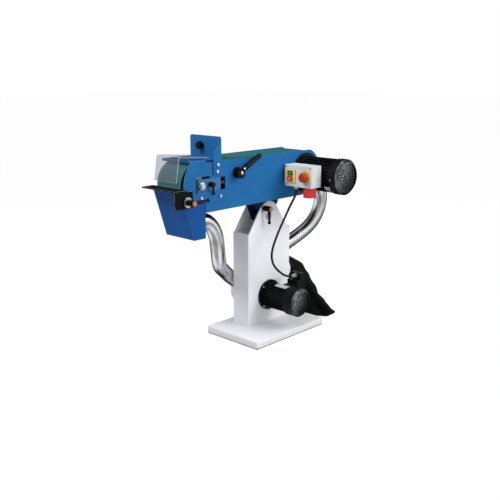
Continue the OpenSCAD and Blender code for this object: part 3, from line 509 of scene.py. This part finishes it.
def cowl_trims(cowl_node):
    """The finishes of a cowl's end: its rolled rim and its grille's bars get patchy pale painted highlights.
    """
    low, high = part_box(cowl_node)
    axis, radius = middle_of(cowl_node), (high.x - low.x) / 2
    lip = radius * rim_share

    def at_end(spots):
        return max(spot.y for spot in spots) < low.y + lip + rim_margin

    def on_rim(spots):
        reach = min(math.hypot(spot.x - axis.x, spot.z - axis.z) for spot in spots)
        return at_end(spots) and reach > radius - lip - rim_margin

    def on_bars(spots):
        depths = [spot.y for spot in spots]
        return at_end(spots) and not on_rim(spots) and max(depths) - min(depths) < bar_flatness

    def highlighted_enamel(part, light, fineness, fade):
        """Black enamel with a patchy pale painted highlight, strongest on the upper front side, where the
        light falls.
        """
        finish = Finish(cowl_node + part, {"Specular IOR Level": 0.3})
        # Painted highlight: paler towards the upper front of the cowl's end.
        side = (axis.x - finish.axis("X")) * 0.8 + (finish.axis("Z") - axis.z) * 0.6
        painted_highlight = finish.step(finish.noise(fineness, 4), 0.35, 0.7) * finish.step(side, -fade * radius, radius)
        finish.paint({
            "Base Color": finish.mix(painted_highlight, tint("0d0e0f"), tint(light)),
            "Roughness": 0.34 + painted_highlight * 0.12,
        })
        return finish

    return [(highlighted_enamel("_rim", "777a80", 30, 0.5), on_rim),
            (highlighted_enamel("_bars", "b4b7bb", 160, 0.4), on_bars)]


soften("fan_motor_cowl", 0.0008, enamel, trims=cowl_trims("fan_motor_cowl"))
soften("fan_terminal_box", 0.0016, enamel, 3)
soften("fan_flange_bolts", 0.0006, zinc)
coat("fan_shaft", steel)
coat("fan_impeller", alloy)

screws = Pattern("screw_heads", Radius=float, Height=float, Sides=int)


def raised(part, lift, spread):
    """Draws the head's top face out by lift and scales it by spread."""
    drawn = screws.node("GeometryNodeExtrudeMesh", {}, {
        "Mesh": part[0], "Selection": part[1], "Offset Scale": lift, "Individual": False})
    top = Wire(screws, drawn.socket.node.outputs["Top"])
    scaled = screws.node("GeometryNodeScaleElements", {}, {
        "Geometry": drawn, "Selection": top, "Scale": spread})
    return scaled, top


head_steps = ((0.55, 1.0), (0.3, 0.9), (0.15, 0.8), (0.0, 0.62), (-0.5, 0.95))
head_top = (screws.node("GeometryNodeMeshCircle", {"fill_type": "NGON"}, {
    "Vertices": screws.size("Sides"), "Radius": screws.size("Radius")}), True)
for lift, spread in head_steps:
    head_top = raised(head_top, screws.size("Height") * lift, spread)
screws.end(screws.node("GeometryNodeInstanceOnPoints", {}, {
    "Points": screws.size("Guide"),
    "Instance": head_top[0],
    "Rotation": screws.node("FunctionNodeAlignRotationToVector", {"axis": "Z"}, {
        "Vector": screws.node("GeometryNodeInputNamedAttribute", {"data_type": "FLOAT_VECTOR"},
                              {"Name": "facing"})}),
}))


def outward(degrees):
    """The direction that a turn about a motor's axis points out in."""
    turn = math.radians(degrees)
    return Vector((math.cos(turn), 0, math.sin(turn)))


screw_inset = 0.011
screw_sink = 0.0004
plate_thick = 0.0008
plate_spread = 32
plate_steps = 12
rivet_share = 0.12
rivet_inset = 0.0045


def cowl_screws(name, cowl_node, body, finish, first):
    """The four screws that hold a motor's cowl, sunk a little into its skirt; first is one's turn."""
    low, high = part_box(cowl_node)
    middle, radius = middle_of(cowl_node), (high.x - low.x) / 2
    ways = [outward(first + 90 * i) for i in range(4)]
    spots = [Vector((middle.x, high.y - screw_inset, middle.z)) + way * (radius - screw_sink) for way in ways]
    screws.grow(name, spots, finish, body, "zinc", facing=ways, Radius=0.0036, Height=0.0022, Sides=16)


cowl_screws("fan_cowl_screws", "fan_motor_cowl", "stand", enamel, first=45)


def motor_plate(name, cowl_node, body, radius, gap, length, turn):
    """A bare rolled aluminium plate with a rivet at each corner, bent over the fins' tips at a turn
    in degrees, with a gap to the cowl."""
    axis = middle_of(cowl_node)
    near_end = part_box(cowl_node)[1].y + gap
    far_end = near_end + length

    def way_at(share):
        return outward(turn + plate_spread * (share - 0.5))

    def spot_at(way, y, lift):
        return Vector((axis.x, y, axis.z)) + way * (radius + lift)

    shape = bmesh.new()
    rows = []
    for way in (way_at(i / plate_steps) for i in range(plate_steps + 1)):
        rows.append([shape.verts.new(spot_at(way, y, lift)) for y, lift in (
            (near_end, 0), (near_end, plate_thick), (far_end, plate_thick), (far_end, 0))])
    for before, after in zip(rows, rows[1:]):
        for k in range(4):
            shape.faces.new((before[k], before[(k + 1) % 4], after[(k + 1) % 4], after[k]))
    shape.faces.new(rows[0][::-1])
    shape.faces.new(rows[-1])
    bmesh.ops.recalc_face_normals(shape, faces=shape.faces)
    round_corners(shape, 0.0002, 1)
    make_piece(name, shape, bare_plate, body)
    corners = [(way_at(share), y) for share in (rivet_share, 1 - rivet_share)
               for y in (near_end + rivet_inset, far_end - rivet_inset)]
    screws.grow(name + "_rivets", [spot_at(way, y, plate_thick) for way, y in corners], zinc, body, "zinc",
                facing=[way for way, y in corners], Radius=0.0018, Height=0.0009, Sides=10)


bare_plate = two_tone("bare_plate", metal, (300, 3, (1, 0.04, 1)), ("dcdfe1", "bcc0c4"), (0.3, 0.16))
motor_plate("fan_motor_plate", "fan_motor_cowl", "stand", radius=0.0623, gap=0.016, length=0.070, turn=96)

# Fan lead gland. A grey plastic compression gland, screwed into the fan motor's box, grips the lead
# and keeps the dust out.
gland_grey = two_tone("grey_gland", {"Specular IOR Level": 0.5}, (150, 3), ("8d9091", "76797b"), (0.4, 0.12))
gland_grey.relief(gland_grey.noise(1600, 1), 0.00006)
soften("fan_gland", 0.001, gland_grey)

# Inlet manifold. On the column's far side a welded sheet drum, in the stand's white coat, joins the
# two ducts and leads their air into the fan.
soften("fan_inlet_manifold", 0.0008, white)

# Dust bag. A slack black woven polyester sack is gathered on the fan's outlet spigot behind the column,
# held by a band clamp, and slumps to the floor with its bottom spread out.
bag_sections = [
    (0.190, 0.058, 0.2650, 0.0536, 0.0536),
    (0.214, 0.058, 0.2645, 0.0540, 0.0540),
    (0.240, 0.057, 0.2500, 0.0560, 0.0500),
    (0.268, 0.054, 0.2160, 0.0640, 0.0680),
    (0.294, 0.048, 0.1720, 0.0760, 0.0720),
    (0.316, 0.040, 0.1280, 0.0900, 0.0530),
    (0.336, 0.030, 0.0840, 0.1040, 0.0440),
    (0.354, 0.018, 0.0420, 0.1240, 0.0610),
    (0.366, 0.008, 0.0060, 0.1260, 0.0640),
]
bag_rows = 84
bag_columns = 112
bag_floor = 0.0015
bag_fold_height = 0.0052
bag_crease_height = 0.0160
bag_pleat_height = 0.0006
bag_pleats = 26
bag_corner_degrees = 60


def through(points, count):
    """Evenly stepped points of one smooth line through given points, the ends included."""
    line = []
    for k in range(count):
        place = k * (len(points) - 1) / (count - 1)
        i = min(int(place), len(points) - 2)
        u = place - i
        a, b, c, d = [points[min(max(j, 0), len(points) - 1)] for j in (i - 1, i, i + 1, i + 2)]
        line.append([0.5 * (2 * q + (r - p) * u + (2 * p - 5 * q + 4 * r - s) * u * u
                            + (3 * q - p - 3 * r + s) * u ** 3) for p, q, r, s in zip(a, b, c, d)])
    return line


def bag_fold(share, turn):
    """How far the cloth stands in or out of the plain sack: long folds, cross creases and pleats."""
    slack = min(1.0, max(0.0, (share - 0.12) / 0.3))
    drift = 2.2 * noise.noise(Vector((share * 3.1, 4.0, 1.5)))
    long_folds = math.sin(4 * turn + drift + 3 * share) + 0.6 * math.sin(7 * turn - 5 * share + 1.3)
    creases = noise.noise(Vector((1.6 * math.cos(turn), 1.6 * math.sin(turn), share * 7)))
    pleats = (1 - slack) * math.cos(bag_pleats * turn)
    loose = bag_fold_height * long_folds + bag_crease_height * creases * (0.4 + share)
    return slack * loose + bag_pleat_height * pleats


bag_shape = bmesh.new()
bag_wrap = bag_shape.loops.layers.uv.new("UVMap")
bag_line = through(bag_sections, bag_rows)
bag_rings = []
for row, (x, y, z, half_width, half_depth) in enumerate(bag_line):
    before, after = bag_line[max(row - 1, 0)], bag_line[min(row + 1, bag_rows - 1)]
    heading = Vector([after[k] - before[k] for k in range(3)]).normalized()
    across = Vector((0, 1, 0))
    depth = heading.cross(across).normalized()
    ring = []
    for column in range(bag_columns):
        turn = math.tau * column / bag_columns
        fold = bag_fold(row / (bag_rows - 1), turn)
        spot = Vector((x, y, z)) + across * (half_width + fold) * math.cos(turn) \
            + depth * (half_depth + fold) * math.sin(turn)
        spot.z = max(spot.z, bag_floor)
        ring.append(bag_shape.verts.new(spot))
    bag_rings.append(ring)
for row, (ring, following) in enumerate(zip(bag_rings, bag_rings[1:])):
    for column in range(bag_columns):
        nxt = (column + 1) % bag_columns
        face = bag_shape.faces.new((ring[column], ring[nxt], following[nxt], following[column]))
        for loop, (du, dv) in zip(face.loops, ((0, 0), (1, 0), (1, 1), (0, 1))):
            loop[bag_wrap].uv = ((column + du) / bag_columns, (row + dv) / bag_rows)
bag_shape.faces.new(bag_rings[-1])
bag_shape.faces.new(bag_rings[0][::-1])
bmesh.ops.recalc_face_normals(bag_shape, faces=bag_shape.faces)

cloth = Finish("bag_cloth", {"Sheen Weight": 0.02, "Sheen Roughness": 0.4, "Specular IOR Level": 0.08})
cloth_place = cloth.node("ShaderNodeUVMap", {"uv_map": "UVMap"})


def threads(count, direction):
    return cloth.node("ShaderNodeTexWave", {"bands_direction": direction},
                      {"Vector": cloth_place, "Scale": count, "Distortion": 0.4}, out=1)


cloth_weave = threads(70, "X") * 0.5 + threads(70, "Y") * 0.5
cloth_dust = cloth.step(cloth.noise(16, 5), 0.45, 0.8)
cloth.paint({
    "Base Color": cloth.mix(cloth_dust * 0.2, cloth.mix(cloth_weave, tint("030404"), tint("090a0b")),
                            tint("26282b")),
    "Roughness": 0.62 + cloth_weave * 0.16,
})
cloth.relief(cloth_weave, 0.00025)
bag = make_piece("dust_bag_cloth", bag_shape, cloth, "stand", bag_corner_degrees)
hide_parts("dust_bag")

# Bag band. A steel band with a worm screw, dipped black, draws the bag's neck onto the spigot
# and is pulled tight enough to pleat the cloth.
soften("bag_clamp", 0.0004, enamel, 1)

saddle_size = Vector((0.016, 0.0105, 0.0036))
barrel_height = 0.0050
barrel = (0, 0.0043, 0.013, 20)
barrel_head = (0.0088, 0.0048, 0.0046, 6)


def worm_screw(name, spot, along, out, body, finish):
    """A band's screw housing: a saddle on the band, a barrel along it and a hexagon head."""
    side = out.cross(along)
    place = Matrix((along, side, out)).transposed().to_4x4()
    place.translation = spot
    shape = bmesh.new()
    bmesh.ops.create_cube(shape, size=1.0, matrix=place @ Matrix.Translation((0, 0, saddle_size.z / 2))
                          @ Matrix.Diagonal((*saddle_size, 1)))
    lying = Matrix.Rotation(math.pi / 2, 4, "Y")
    for reach, radius, length, sides in (barrel, barrel_head):
        bmesh.ops.create_cone(shape, cap_ends=True, segments=sides, radius1=radius, radius2=radius,
                              depth=length,
                              matrix=place @ Matrix.Translation((reach, 0, barrel_height)) @ lying)
    round_corners(shape, 0.0005)
    make_piece(name, shape, finish, body)


band_spot = middle_of("bag_clamp")
band_spot.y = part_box("bag_clamp")[0].y
worm_screw("bag_clamp_screw", band_spot, Vector((0, 0, 1)), Vector((0, -1, 0)), "stand", enamel)

# Ducts. Two semi-rigid ribbed aluminium ducts, about 68 mm over the ribs, lead from the spark hopper
# and from the rear guard down to the manifold; they are wound from foil strip and keep their bends.
duct_root = 0.0338
duct_crest = 0.0340
duct_ribs = 130
rib_steps = 6
duct_sides = 40
duct_points = 160
tube_corner_degrees = 80.0
front_route = [
    (-0.419, 0.058, 0.590), (-0.401, 0.058, 0.590), (-0.383, 0.058, 0.590), (-0.340, 0.058, 0.582),
    (-0.302, 0.059, 0.552), (-0.277, 0.060, 0.508), (-0.263, 0.064, 0.458), (-0.249, 0.074, 0.410),
    (-0.226, 0.092, 0.366), (-0.192, 0.118, 0.328), (-0.146, 0.140, 0.295), (-0.0995, 0.150, 0.2572),
    (-0.0815, 0.150, 0.2446), (-0.0602, 0.150, 0.2297),
]
rear_route = [
    (0.3515, 0.058, 0.690), (0.3675, 0.058, 0.690), (0.3835, 0.058, 0.690), (0.421, 0.058, 0.683),
    (0.460, 0.059, 0.655), (0.484, 0.061, 0.611), (0.491, 0.066, 0.561), (0.480, 0.074, 0.507),
    (0.452, 0.086, 0.457), (0.411, 0.102, 0.417), (0.358, 0.120, 0.384), (0.300, 0.138, 0.352),
    (0.242, 0.147, 0.321), (0.1888, 0.150, 0.2847), (0.1495, 0.150, 0.2572), (0.1102, 0.150, 0.2297),
]

tube = Pattern("swept_tube", Root=float, Crest=float, Ribs=float, Steps=int, Sides=int)
tube_line = tube.node("GeometryNodeResampleCurve", {"mode": "COUNT"}, {
    "Curve": tube.node("GeometryNodeMeshToCurve", {}, {"Mesh": tube.size("Guide")}),
    "Count": tube.size("Steps"),
})
tube_turns = tube.node("GeometryNodeSplineParameter", out="Factor") * tube.size("Ribs") * math.tau
tube_wave = 0.5 - tube_turns.math("COSINE", tube_turns) * 0.5
tube.end(tube.node("GeometryNodeCurveToMesh", {}, {
    "Curve": tube_line,
    "Scale": tube.size("Root") + (tube.size("Crest") - tube.size("Root")) * tube_wave,
    "Profile Curve": tube.node("GeometryNodeCurvePrimitiveCircle", {}, {
        "Resolution": tube.size("Sides"), "Radius": 1.0}),
    "Fill Caps": True,
}))


def line_length(points):
    return sum((Vector(b) - Vector(a)).length for a, b in zip(points, points[1:]))


duct_foil = two_tone("duct_foil", metal, (55, 4, (1, 1, 0.5)), ("eceef0", "c9cdd2"), (0.07, 0.1))
duct_foil.relief(duct_foil.noise(140, 3), 0.00015)

for name, route in (("front_hose", front_route), ("rear_hose", rear_route)):
    line = through(route, duct_points)
    duct = tube.grow(name + "_foil", line, duct_foil, None, "duct", Root=duct_root, Crest=duct_crest,
                     Ribs=float(duct_ribs), Steps=duct_ribs * rib_steps + 1, Sides=duct_sides,
                     sharp=tube_corner_degrees)
    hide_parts(name)
    line_length(line)
    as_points(line)
    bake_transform(duct)

# Duct bands. Each duct end is drawn onto its stub by a zinc-plated steel band; the band's worm screw
# lies on the upper side, where a driver reaches it.
soften("stand_hose_clamps", 0.0004, zinc, 1)
soften("head_hose_clamps", 0.0004, zinc, 1)
band_radius = 0.0362
band_inset = 0.010
sideways = Vector((0, 1, 0))
for body, ends in (("head", (0, 1)), ("stand", (-1, -2))):
    for name, route in (("front", front_route), ("rear", rear_route)):
        start, onward = [Vector(route[k]) for k in ends]
        heading = (onward - start).normalized()
        out = heading.cross(sideways).normalized()
        out = out if out.z > 0 else -out
        worm_screw(f"{name}_{body}_band_screw", start + heading * band_inset + out * band_radius,
                   sideways, out, body, zinc)

# Motor lead. A round black cable of about 10 mm hangs from the switch box's gland in a slack bow and
# comes back to the fan motor's box, with enough spare length for the head to tilt.
lead_radius = 0.0052
lead_points = 120
lead_steps = 160
lead_sides = 20
lead_route = [
    (0.118, -0.081, 0.697), (0.117, -0.081, 0.675), (0.106, -0.082, 0.650), (0.071, -0.084, 0.611),
    (0.032, -0.085, 0.560), (-0.006, -0.086, 0.509), (-0.037, -0.088, 0.463), (-0.056, -0.089, 0.425),
    (-0.062, -0.090, 0.392), (-0.055, -0.092, 0.360), (-0.033, -0.093, 0.330), (0.006, -0.095, 0.297),
    (0.042, -0.096, 0.278), (0.072, -0.097, 0.270), (0.092, -0.097, 0.270),
]
lead_sheath = two_tone("lead_sheath", {"Specular IOR Level": 0.25}, (90, 3), ("0a0a0b", "161719"),
                       (0.4, 0.15))
lead_sheath.relief(lead_sheath.noise(1200, 1), 0.00006)
lead_line = through(lead_route, lead_points)
lead = tube.grow("motor_lead", lead_line, lead_sheath, None, "cable", Root=lead_radius, Crest=lead_radius,
                 Ribs=0.0, Steps=lead_steps, Sides=lead_sides, sharp=tube_corner_degrees)
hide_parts("motor_cable")
line_length(lead_line)
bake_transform(lead)


# Head frame and guards. Laser-cut and folded steel plates in blue enamel carry the wheels, the motor and
# the belt's platen; their corners are painted pale in patches, partly as wear and partly as a painted
# highlight along the edges, and what faces down on the frame, the belt cover and the rear guard is
# painted a near black blue as painted shade.
def enamelled(name, light, deep, pale_edge):
    """Satin enamel in two near shades, painted pale in patches along the corners, partly as wear and partly
    as a painted highlight on the edges.
    """
    finish = Finish(name, {"Specular IOR Level": 0.08})
    patches = finish.noise(14, 3)
    # The corners' pale patches are partly wear and partly a painted highlight along the edges.
    edge_wear_and_highlight = finish.rubbed(38, 4, 0.35, 0.65)
    finish.paint({
        "Base Color": finish.mix(edge_wear_and_highlight * 0.5, finish.mix(patches, tint(light), tint(deep)), tint(pale_edge)),
        "Roughness": 0.34 + patches * 0.12,
    })
    finish.relief(finish.noise(1000, 1), 0.00012)
    return finish


down_limit = -0.5


def faces_down(spots):
    """Whether a face looks down, to within 60 degrees."""
    return geometry.normal(spots).z < down_limit


blue = enamelled("blue_enamel", "1f68a2", "1a5d95", "6d9fce")
# Painted shade: the faces that look down on these three plates get a near black blue.
dusty_blue = enamelled("dusty_blue", "0c1622", "0a1018", "1c2f48")
for node in ("head_frame", "belt_cover", "rear_guard"):
    soften(node, 0.0009, blue, trims=[(dusty_blue, faces_down)])
for node in ("contact_side_plate", "stop_bracket", "wheel_guard"):
    soften(node, 0.0009, blue)
# The pivot bracket between the column's ears gets a near black blue as painted shade, where the ears shade
# it.
soften("pivot_bracket", 0.0012, enamelled("bracket_blue", "123257", "0e2949", "2c5685"))

# Spark hopper. A folded sheet funnel under the contact wheel catches the sparks and leads them into the
# front duct; its paint is set a shade deeper than the frame's, as painted shade for the shade under the tool
# rest.
soften("spark_hopper", 0.0009, enamelled("hopper_blue", "165296", "124888", "5789bd"))

# Head fasteners. Zinc-plated hexagon screws hold the plates and the motor's flange, button heads the guard
# and the belt cover, and small dark screws the switch box's lid.
black_plastic = Finish("black_moulded_plastic", {"Specular IOR Level": 0.12})
plastic_patches = black_plastic.noise(60, 3)
plastic_rub = black_plastic.rubbed(110, 3, 0.45, 0.7)
black_plastic.paint({
    "Base Color": black_plastic.mix(plastic_rub * 0.3, tint("070708"), tint("34363a")),
    "Roughness": 0.36 + plastic_patches * 0.12,
})
black_plastic.relief(black_plastic.noise(1800, 1), 0.00008)

lid_low, lid_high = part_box("switch_box_lid")
lid_screw_height = 0.003
lid_screw_sink = 0.001


def on_lid(spots):
    """Whether a face belongs to a screw that stands on the switch box's lid."""
    return all(lid_low.x - lid_screw_height < spot.x < lid_low.x + lid_screw_sink
               and lid_low.y < spot.y < lid_high.y for spot in spots)


soften("head_fasteners", 0.0006, zinc, trims=[(black_plastic, on_lid)])

cover_low, cover_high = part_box("belt_cover")
cover_edge = 0.013
cover_stations = (-0.36, -0.06, 0.22)
cover_spots = [(x, cover_high.y, z) for x in cover_stations
               for z in (cover_low.z + cover_edge, cover_high.z - cover_edge)]
screws.grow("cover_screws", cover_spots, zinc, "head", "zinc", facing=[(0, 1, 0)] * len(cover_spots),
            Radius=0.0055, Height=0.0032, Sides=20)

# Platen. A ground steel plate lies close under the belt's upper run and backs it where long work is held.
# The running belt keeps it polished.
coat("platen", steel)

# Abrasive belt. A 150 mm cloth belt with teal zirconia grain runs round both wheels; over the contact
# wheel its grain is painted paler, as painted light on the belt's front run.
belt_lit_end = -0.36
belt_lit_fade = 0.05
grain = Finish("abrasive_grain", {"Specular IOR Level": 0.06})
grain_bits = grain.noise(900, 3)
grain_lay = grain.noise(9, 3, (0.35, 2.0, 0.35))
grain_colour = grain.mix(grain.step(grain_bits, 0.35, 0.7), tint("195553"), tint("2e7470"))
# Painted light: the grain turns paler towards the front, over the contact wheel.
grain_lit_share = 1 - grain.step(grain.axis("X"), belt_lit_end - belt_lit_fade, belt_lit_end)
grain_with_painted_light = grain.mix(grain_lit_share * (0.4 + grain_bits * 0.5), grain_colour, tint("5f9690"))
grain.paint({
    "Base Color": grain.mix(grain.step(grain_lay, 0.4, 0.75) * 0.35, grain_with_painted_light, tint("4d6c69")),
    "Roughness": 0.72 + grain_bits * 0.2,
})
grain.relief(grain_bits, 0.0006)
soften("abrasive_belt", 0.0003, grain, 1)

# Visor. A bent sheet of clear polycarbonate shields the eyes over the contact wheel; it hangs by its
# slotted tab from the stop plate, and its cut edges are painted near white as a painted highlight.
visor_scuffed_end = -0.40
visor_clear_start = -0.345
clear = Finish("visor_clear", {"Specular IOR Level": 0.5})
clear_scuffs = clear.step(clear.noise(24, 5), 0.5, 0.85)
clear_worn = 1 - clear.step(clear.axis("X"), visor_scuffed_end, visor_clear_start)
# The rounded edges are painted near white and less clear, a painted highlight.
clear.paint({
    "Base Color": clear.mix(clear.corners(), tint("585d70"), tint("f4f7f9")),
    "Roughness": 0.05 + clear_scuffs * 0.1,
    "Alpha": 0.03 + clear_worn * (0.29 + clear.corners() * 0.6 + clear_scuffs * 0.05),
})
soften("visor", 0.0006, clear, 1)

# Visor knob. A black fluted plastic knob clamps the visor's tab to the stop plate. A black insert
# closes its face.
soften("visor_knob", 0.0012, black_plastic)
knob_front = middle_of("visor_knob")
knob_front.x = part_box("visor_knob")[0].x
insert_profile = [(0.0068, -0.001), (0.0068, 0.0008), (0.0052, 0.0016), (0.0034, 0.0016), (0.0030, 0.0006)]


def turned(name, spot, way, profile, finish, body, sides=40):
    """A turned piece: profile lists radius and distance along way, from one end to the other."""
    place = way.to_track_quat("Z", "Y").to_matrix().to_4x4()
    place.translation = spot
    shape = bmesh.new()
    rings = [[shape.verts.new(place @ Vector((radius * math.cos(math.tau * k / sides),
                                              radius * math.sin(math.tau * k / sides), reach)))
              for k in range(sides)] for radius, reach in profile]
    for ring, following in zip(rings, rings[1:]):
        for k in range(sides):
            shape.faces.new((ring[k], ring[(k + 1) % sides], following[(k + 1) % sides], following[k]))
    shape.faces.new(rings[0][::-1])
    shape.faces.new(rings[-1])
    bmesh.ops.recalc_face_normals(shape, faces=shape.faces)
    round_corners(shape, 0.0003)
    make_piece(name, shape, finish, body)


turned("visor_knob_insert", knob_front, Vector((-1, 0, 0)), insert_profile, black_plastic, "visor_clamp")

# Tension slide and contact wheel. A steel slide carries the wheel's axle along the frame's slot; the
# wheel has a cast hub, two ball bearings and a black rubber tyre, and a coil spring pushes the slide.
slide_blue = Finish("slide_blue_wash", {"Specular IOR Level": 0.45})
slide_wear = slide_blue.noise(60, 4, (0.3, 1, 1))
slide_blue.paint({
    "Base Color": slide_blue.mix(slide_wear, tint("1d5a94"), tint("3c74a5")),
    "Roughness": 0.34 + slide_wear * 0.2,
    "Metallic": slide_wear * 0.3,
})
soften("tension_slide", 0.0009, slide_blue)
soften("wheel_axle", 0.0008, zinc)
coat("wheel_bearings", steel)
coat("wheel_hub", alloy)
tyre = two_tone("tyre_rubber", {"Specular IOR Level": 0.3}, (80, 4), ("1c1d1f", "303134"), (0.65, 0.2))
tyre.relief(tyre.noise(1200), 0.00015)
coat("wheel_tyre", tyre)

spring_low, spring_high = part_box("tension_spring")
spring_wire = 0.0014
spring_curls = 7
spring_steps = 24
spring_middle = middle_of("tension_spring")
spring_coil = (spring_high.z - spring_low.z) / 2 - spring_wire
spring_start = spring_low.x + spring_wire
spring_reach = spring_high.x - spring_low.x - 2 * spring_wire
spring_line = []
for i in range(spring_curls * spring_steps + 1):
    turn = math.tau * i / spring_steps
    spring_line.append((spring_start + spring_reach * i / (spring_curls * spring_steps),
                        spring_middle.y + spring_coil * math.cos(turn),
                        spring_middle.z + spring_coil * math.sin(turn)))
spring = tube.grow("tension_spring_wire", spring_line, steel, "head", "steel", Root=spring_wire,
                   Crest=spring_wire, Ribs=0.0, Steps=len(spring_line), Sides=10, sharp=tube_corner_degrees)
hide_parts("tension_spring")
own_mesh(spring)

# Tracking lever and tension lever. A black lever sets how the belt runs. A zinc-plated one, with a moulded
# black hub and grip and a bright screw in the hub, sets its tension.
soften("tracking_lever", 0.0008, black_plastic)
soften("tension_lever", 0.0008, zinc)
soften("tension_hub", 0.0018, black_plastic, 3)
soften("tension_grip", 0.0012, black_plastic, 3)

hub_spot = middle_of("tension_hub")
hub_spot.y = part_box("tension_lever")[0].y
screws.grow("tension_hub_screw", [hub_spot], zinc, "tension_handle", "zinc", facing=[(0, -1, 0)],
            Radius=0.0082, Height=0.0022, Sides=24)

# Tool rest. A black painted angle of steel plate before the contact wheel, on a slotted cheek that its
# clamp lever holds; its edges are rubbed bright by the work.
rest_paint = Finish("rest_black", {"Specular IOR Level": 0.06})
rest_patches = rest_paint.noise(50, 4)
rest_rub = rest_paint.rubbed(70, 4, 0.3, 0.6)
rest_paint.paint({
    "Base Color": rest_paint.mix(rest_rub * 0.7, rest_paint.mix(rest_patches, tint("08090a"), tint("121315")),
                                 tint("9a9ea3")),
    "Roughness": 0.38 + rest_patches * 0.16,
    "Metallic": rest_rub * 0.7,
})
rest_paint.relief(rest_paint.noise(900, 2), 0.0001)
soften("tool_rest", 0.0009, rest_paint)

# Clamp levers. Two moulded black levers with zinc-plated washers hold the tool rest and the head's tilt.
# Orange caps are pressed into their hubs.
orange = two_tone("orange_cap", {"Specular IOR Level": 0.5}, (140, 3), ("ba7046", "a8613a"), (0.36, 0.12))
washer_edge = 0.0165
washer_depth = 0.025


def washer_of(cap_node):
    """The rule for the faces of a clamp lever's washer: behind the arm, and far out from the axis."""
    axis = middle_of(cap_node)
    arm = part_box(cap_node)[1].y + washer_depth

    def on_washer(spots):
        reach = max(math.hypot(spot.x - axis.x, spot.z - axis.z) for spot in spots)
        return reach > washer_edge and min(spot.y for spot in spots) > arm

    return on_washer


soften("rest_lever", 0.0010, black_plastic, trims=[(zinc, washer_of("rest_cap"))])
soften("rest_cap", 0.0010, orange)
soften("tilt_lever", 0.0010, black_plastic, trims=[(zinc, washer_of("tilt_cap"))])
soften("tilt_cap", 0.0010, orange)

# Drive motor. A larger flange motor of the same make-up as the fan's drives the rear pulley directly.
# It hangs on the frame plate's near side, with a bare plate low on its front.
soften("motor_frame", 0.0005, enamel, 1)
soften("motor_cowl", 0.0010, enamel, trims=cowl_trims("motor_cowl"))
coat("motor_shaft", steel)
coat("drive_pulley", alloy)
cowl_screws("drive_cowl_screws", "motor_cowl", "head", zinc, first=186)
motor_plate("drive_motor_plate", "motor_cowl", "head", radius=0.0803, gap=0.004, length=0.030, turn=230)

# Switch box. A light grey moulded box on the frame plate holds the starter: a yellow frame with a green and
# a red push button, and a red mushroom stop on a yellow collar.
box_grey = Finish("box_grey", {"Specular IOR Level": 0.5})
box_patches = box_grey.noise(40, 3)
box_rub = box_grey.rubbed(80, 3, 0.45, 0.7)
box_grey.paint({
    "Base Color": box_grey.mix(box_rub * 0.35, box_grey.mix(box_patches, tint("cfd3d5"), tint("c3c8ca")),
                               tint("e6e9ea")),
    "Roughness": 0.42 + box_patches * 0.12,
})
box_grey.relief(box_grey.noise(1700, 1), 0.00008)
soften("switch_box", 0.0014, box_grey)
soften("switch_box_lid", 0.0016, box_grey, 3)


def moulded(name, light, deep, roughness=0.3):
    """A glossy moulded plastic in one colour, with faint flow marks and fine grain."""
    finish = two_tone(name, {"Specular IOR Level": 0.2}, (130, 3, (1, 1, 0.4)), (light, deep),
                      (roughness, 0.14))
    finish.relief(finish.noise(1600, 1), 0.00005)
    return finish


yellow = moulded("switch_yellow", "efcf6c", "e3bd52")
collar_orange = moulded("collar_orange", "dd9f35", "cc8c2c")
green = moulded("button_green", "1d6a45", "175a3a")
red = moulded("button_red", "b8343c", "a42a33")
stop_red = moulded("stop_red", "ab380f", "962e0b")
soften("switch_frame", 0.0012, yellow)
soften("start_button", 0.0016, green, 3)
soften("stop_button", 0.0016, red, 3)
soften("estop_collar", 0.0014, collar_orange, 3)
soften("estop_button", 0.0022, stop_red, 3)

button_white = moulded("button_mark", "f2f3f2", "e4e6e5", 0.4)
mark_wire = 0.0008
mark_steps = 24
mark_corner_degrees = 60.0
bar_half = 0.005
ring_radius = 0.0042
ring_points = 24
bar_middle = middle_of("start_button")
bar_middle.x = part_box("start_button")[0].x
ring_middle = middle_of("stop_button")
ring_middle.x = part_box("stop_button")[0].x
bar_line = [bar_middle + Vector((0, 0, reach)) for reach in (-bar_half, 0, bar_half)]
ring_turns = [math.tau * k / ring_points for k in range(ring_points)]
ring_line = [ring_middle + ring_radius * Vector((0, math.cos(turn), math.sin(turn))) for turn in ring_turns]
for name, line, closed, body in (("start_mark", bar_line, False, "start_key"),
                                 ("stop_mark", ring_line, True, "stop_key")):
    tube.grow(name, line, button_white, body, "box_grey", closed=closed, Root=mark_wire, Crest=mark_wire,
              Ribs=0.0, Steps=mark_steps, Sides=10, sharp=mark_corner_degrees)

# Power inlet and lead gland. A red five-pin supply inlet and the motor lead's light grey gland come out of
# the switch box's underside.
inlet_red = moulded("inlet_red", "d8383a", "c22e32", 0.34)
soften("power_inlet", 0.0010, inlet_red)
soften("box_gland", 0.0008, box_grey)
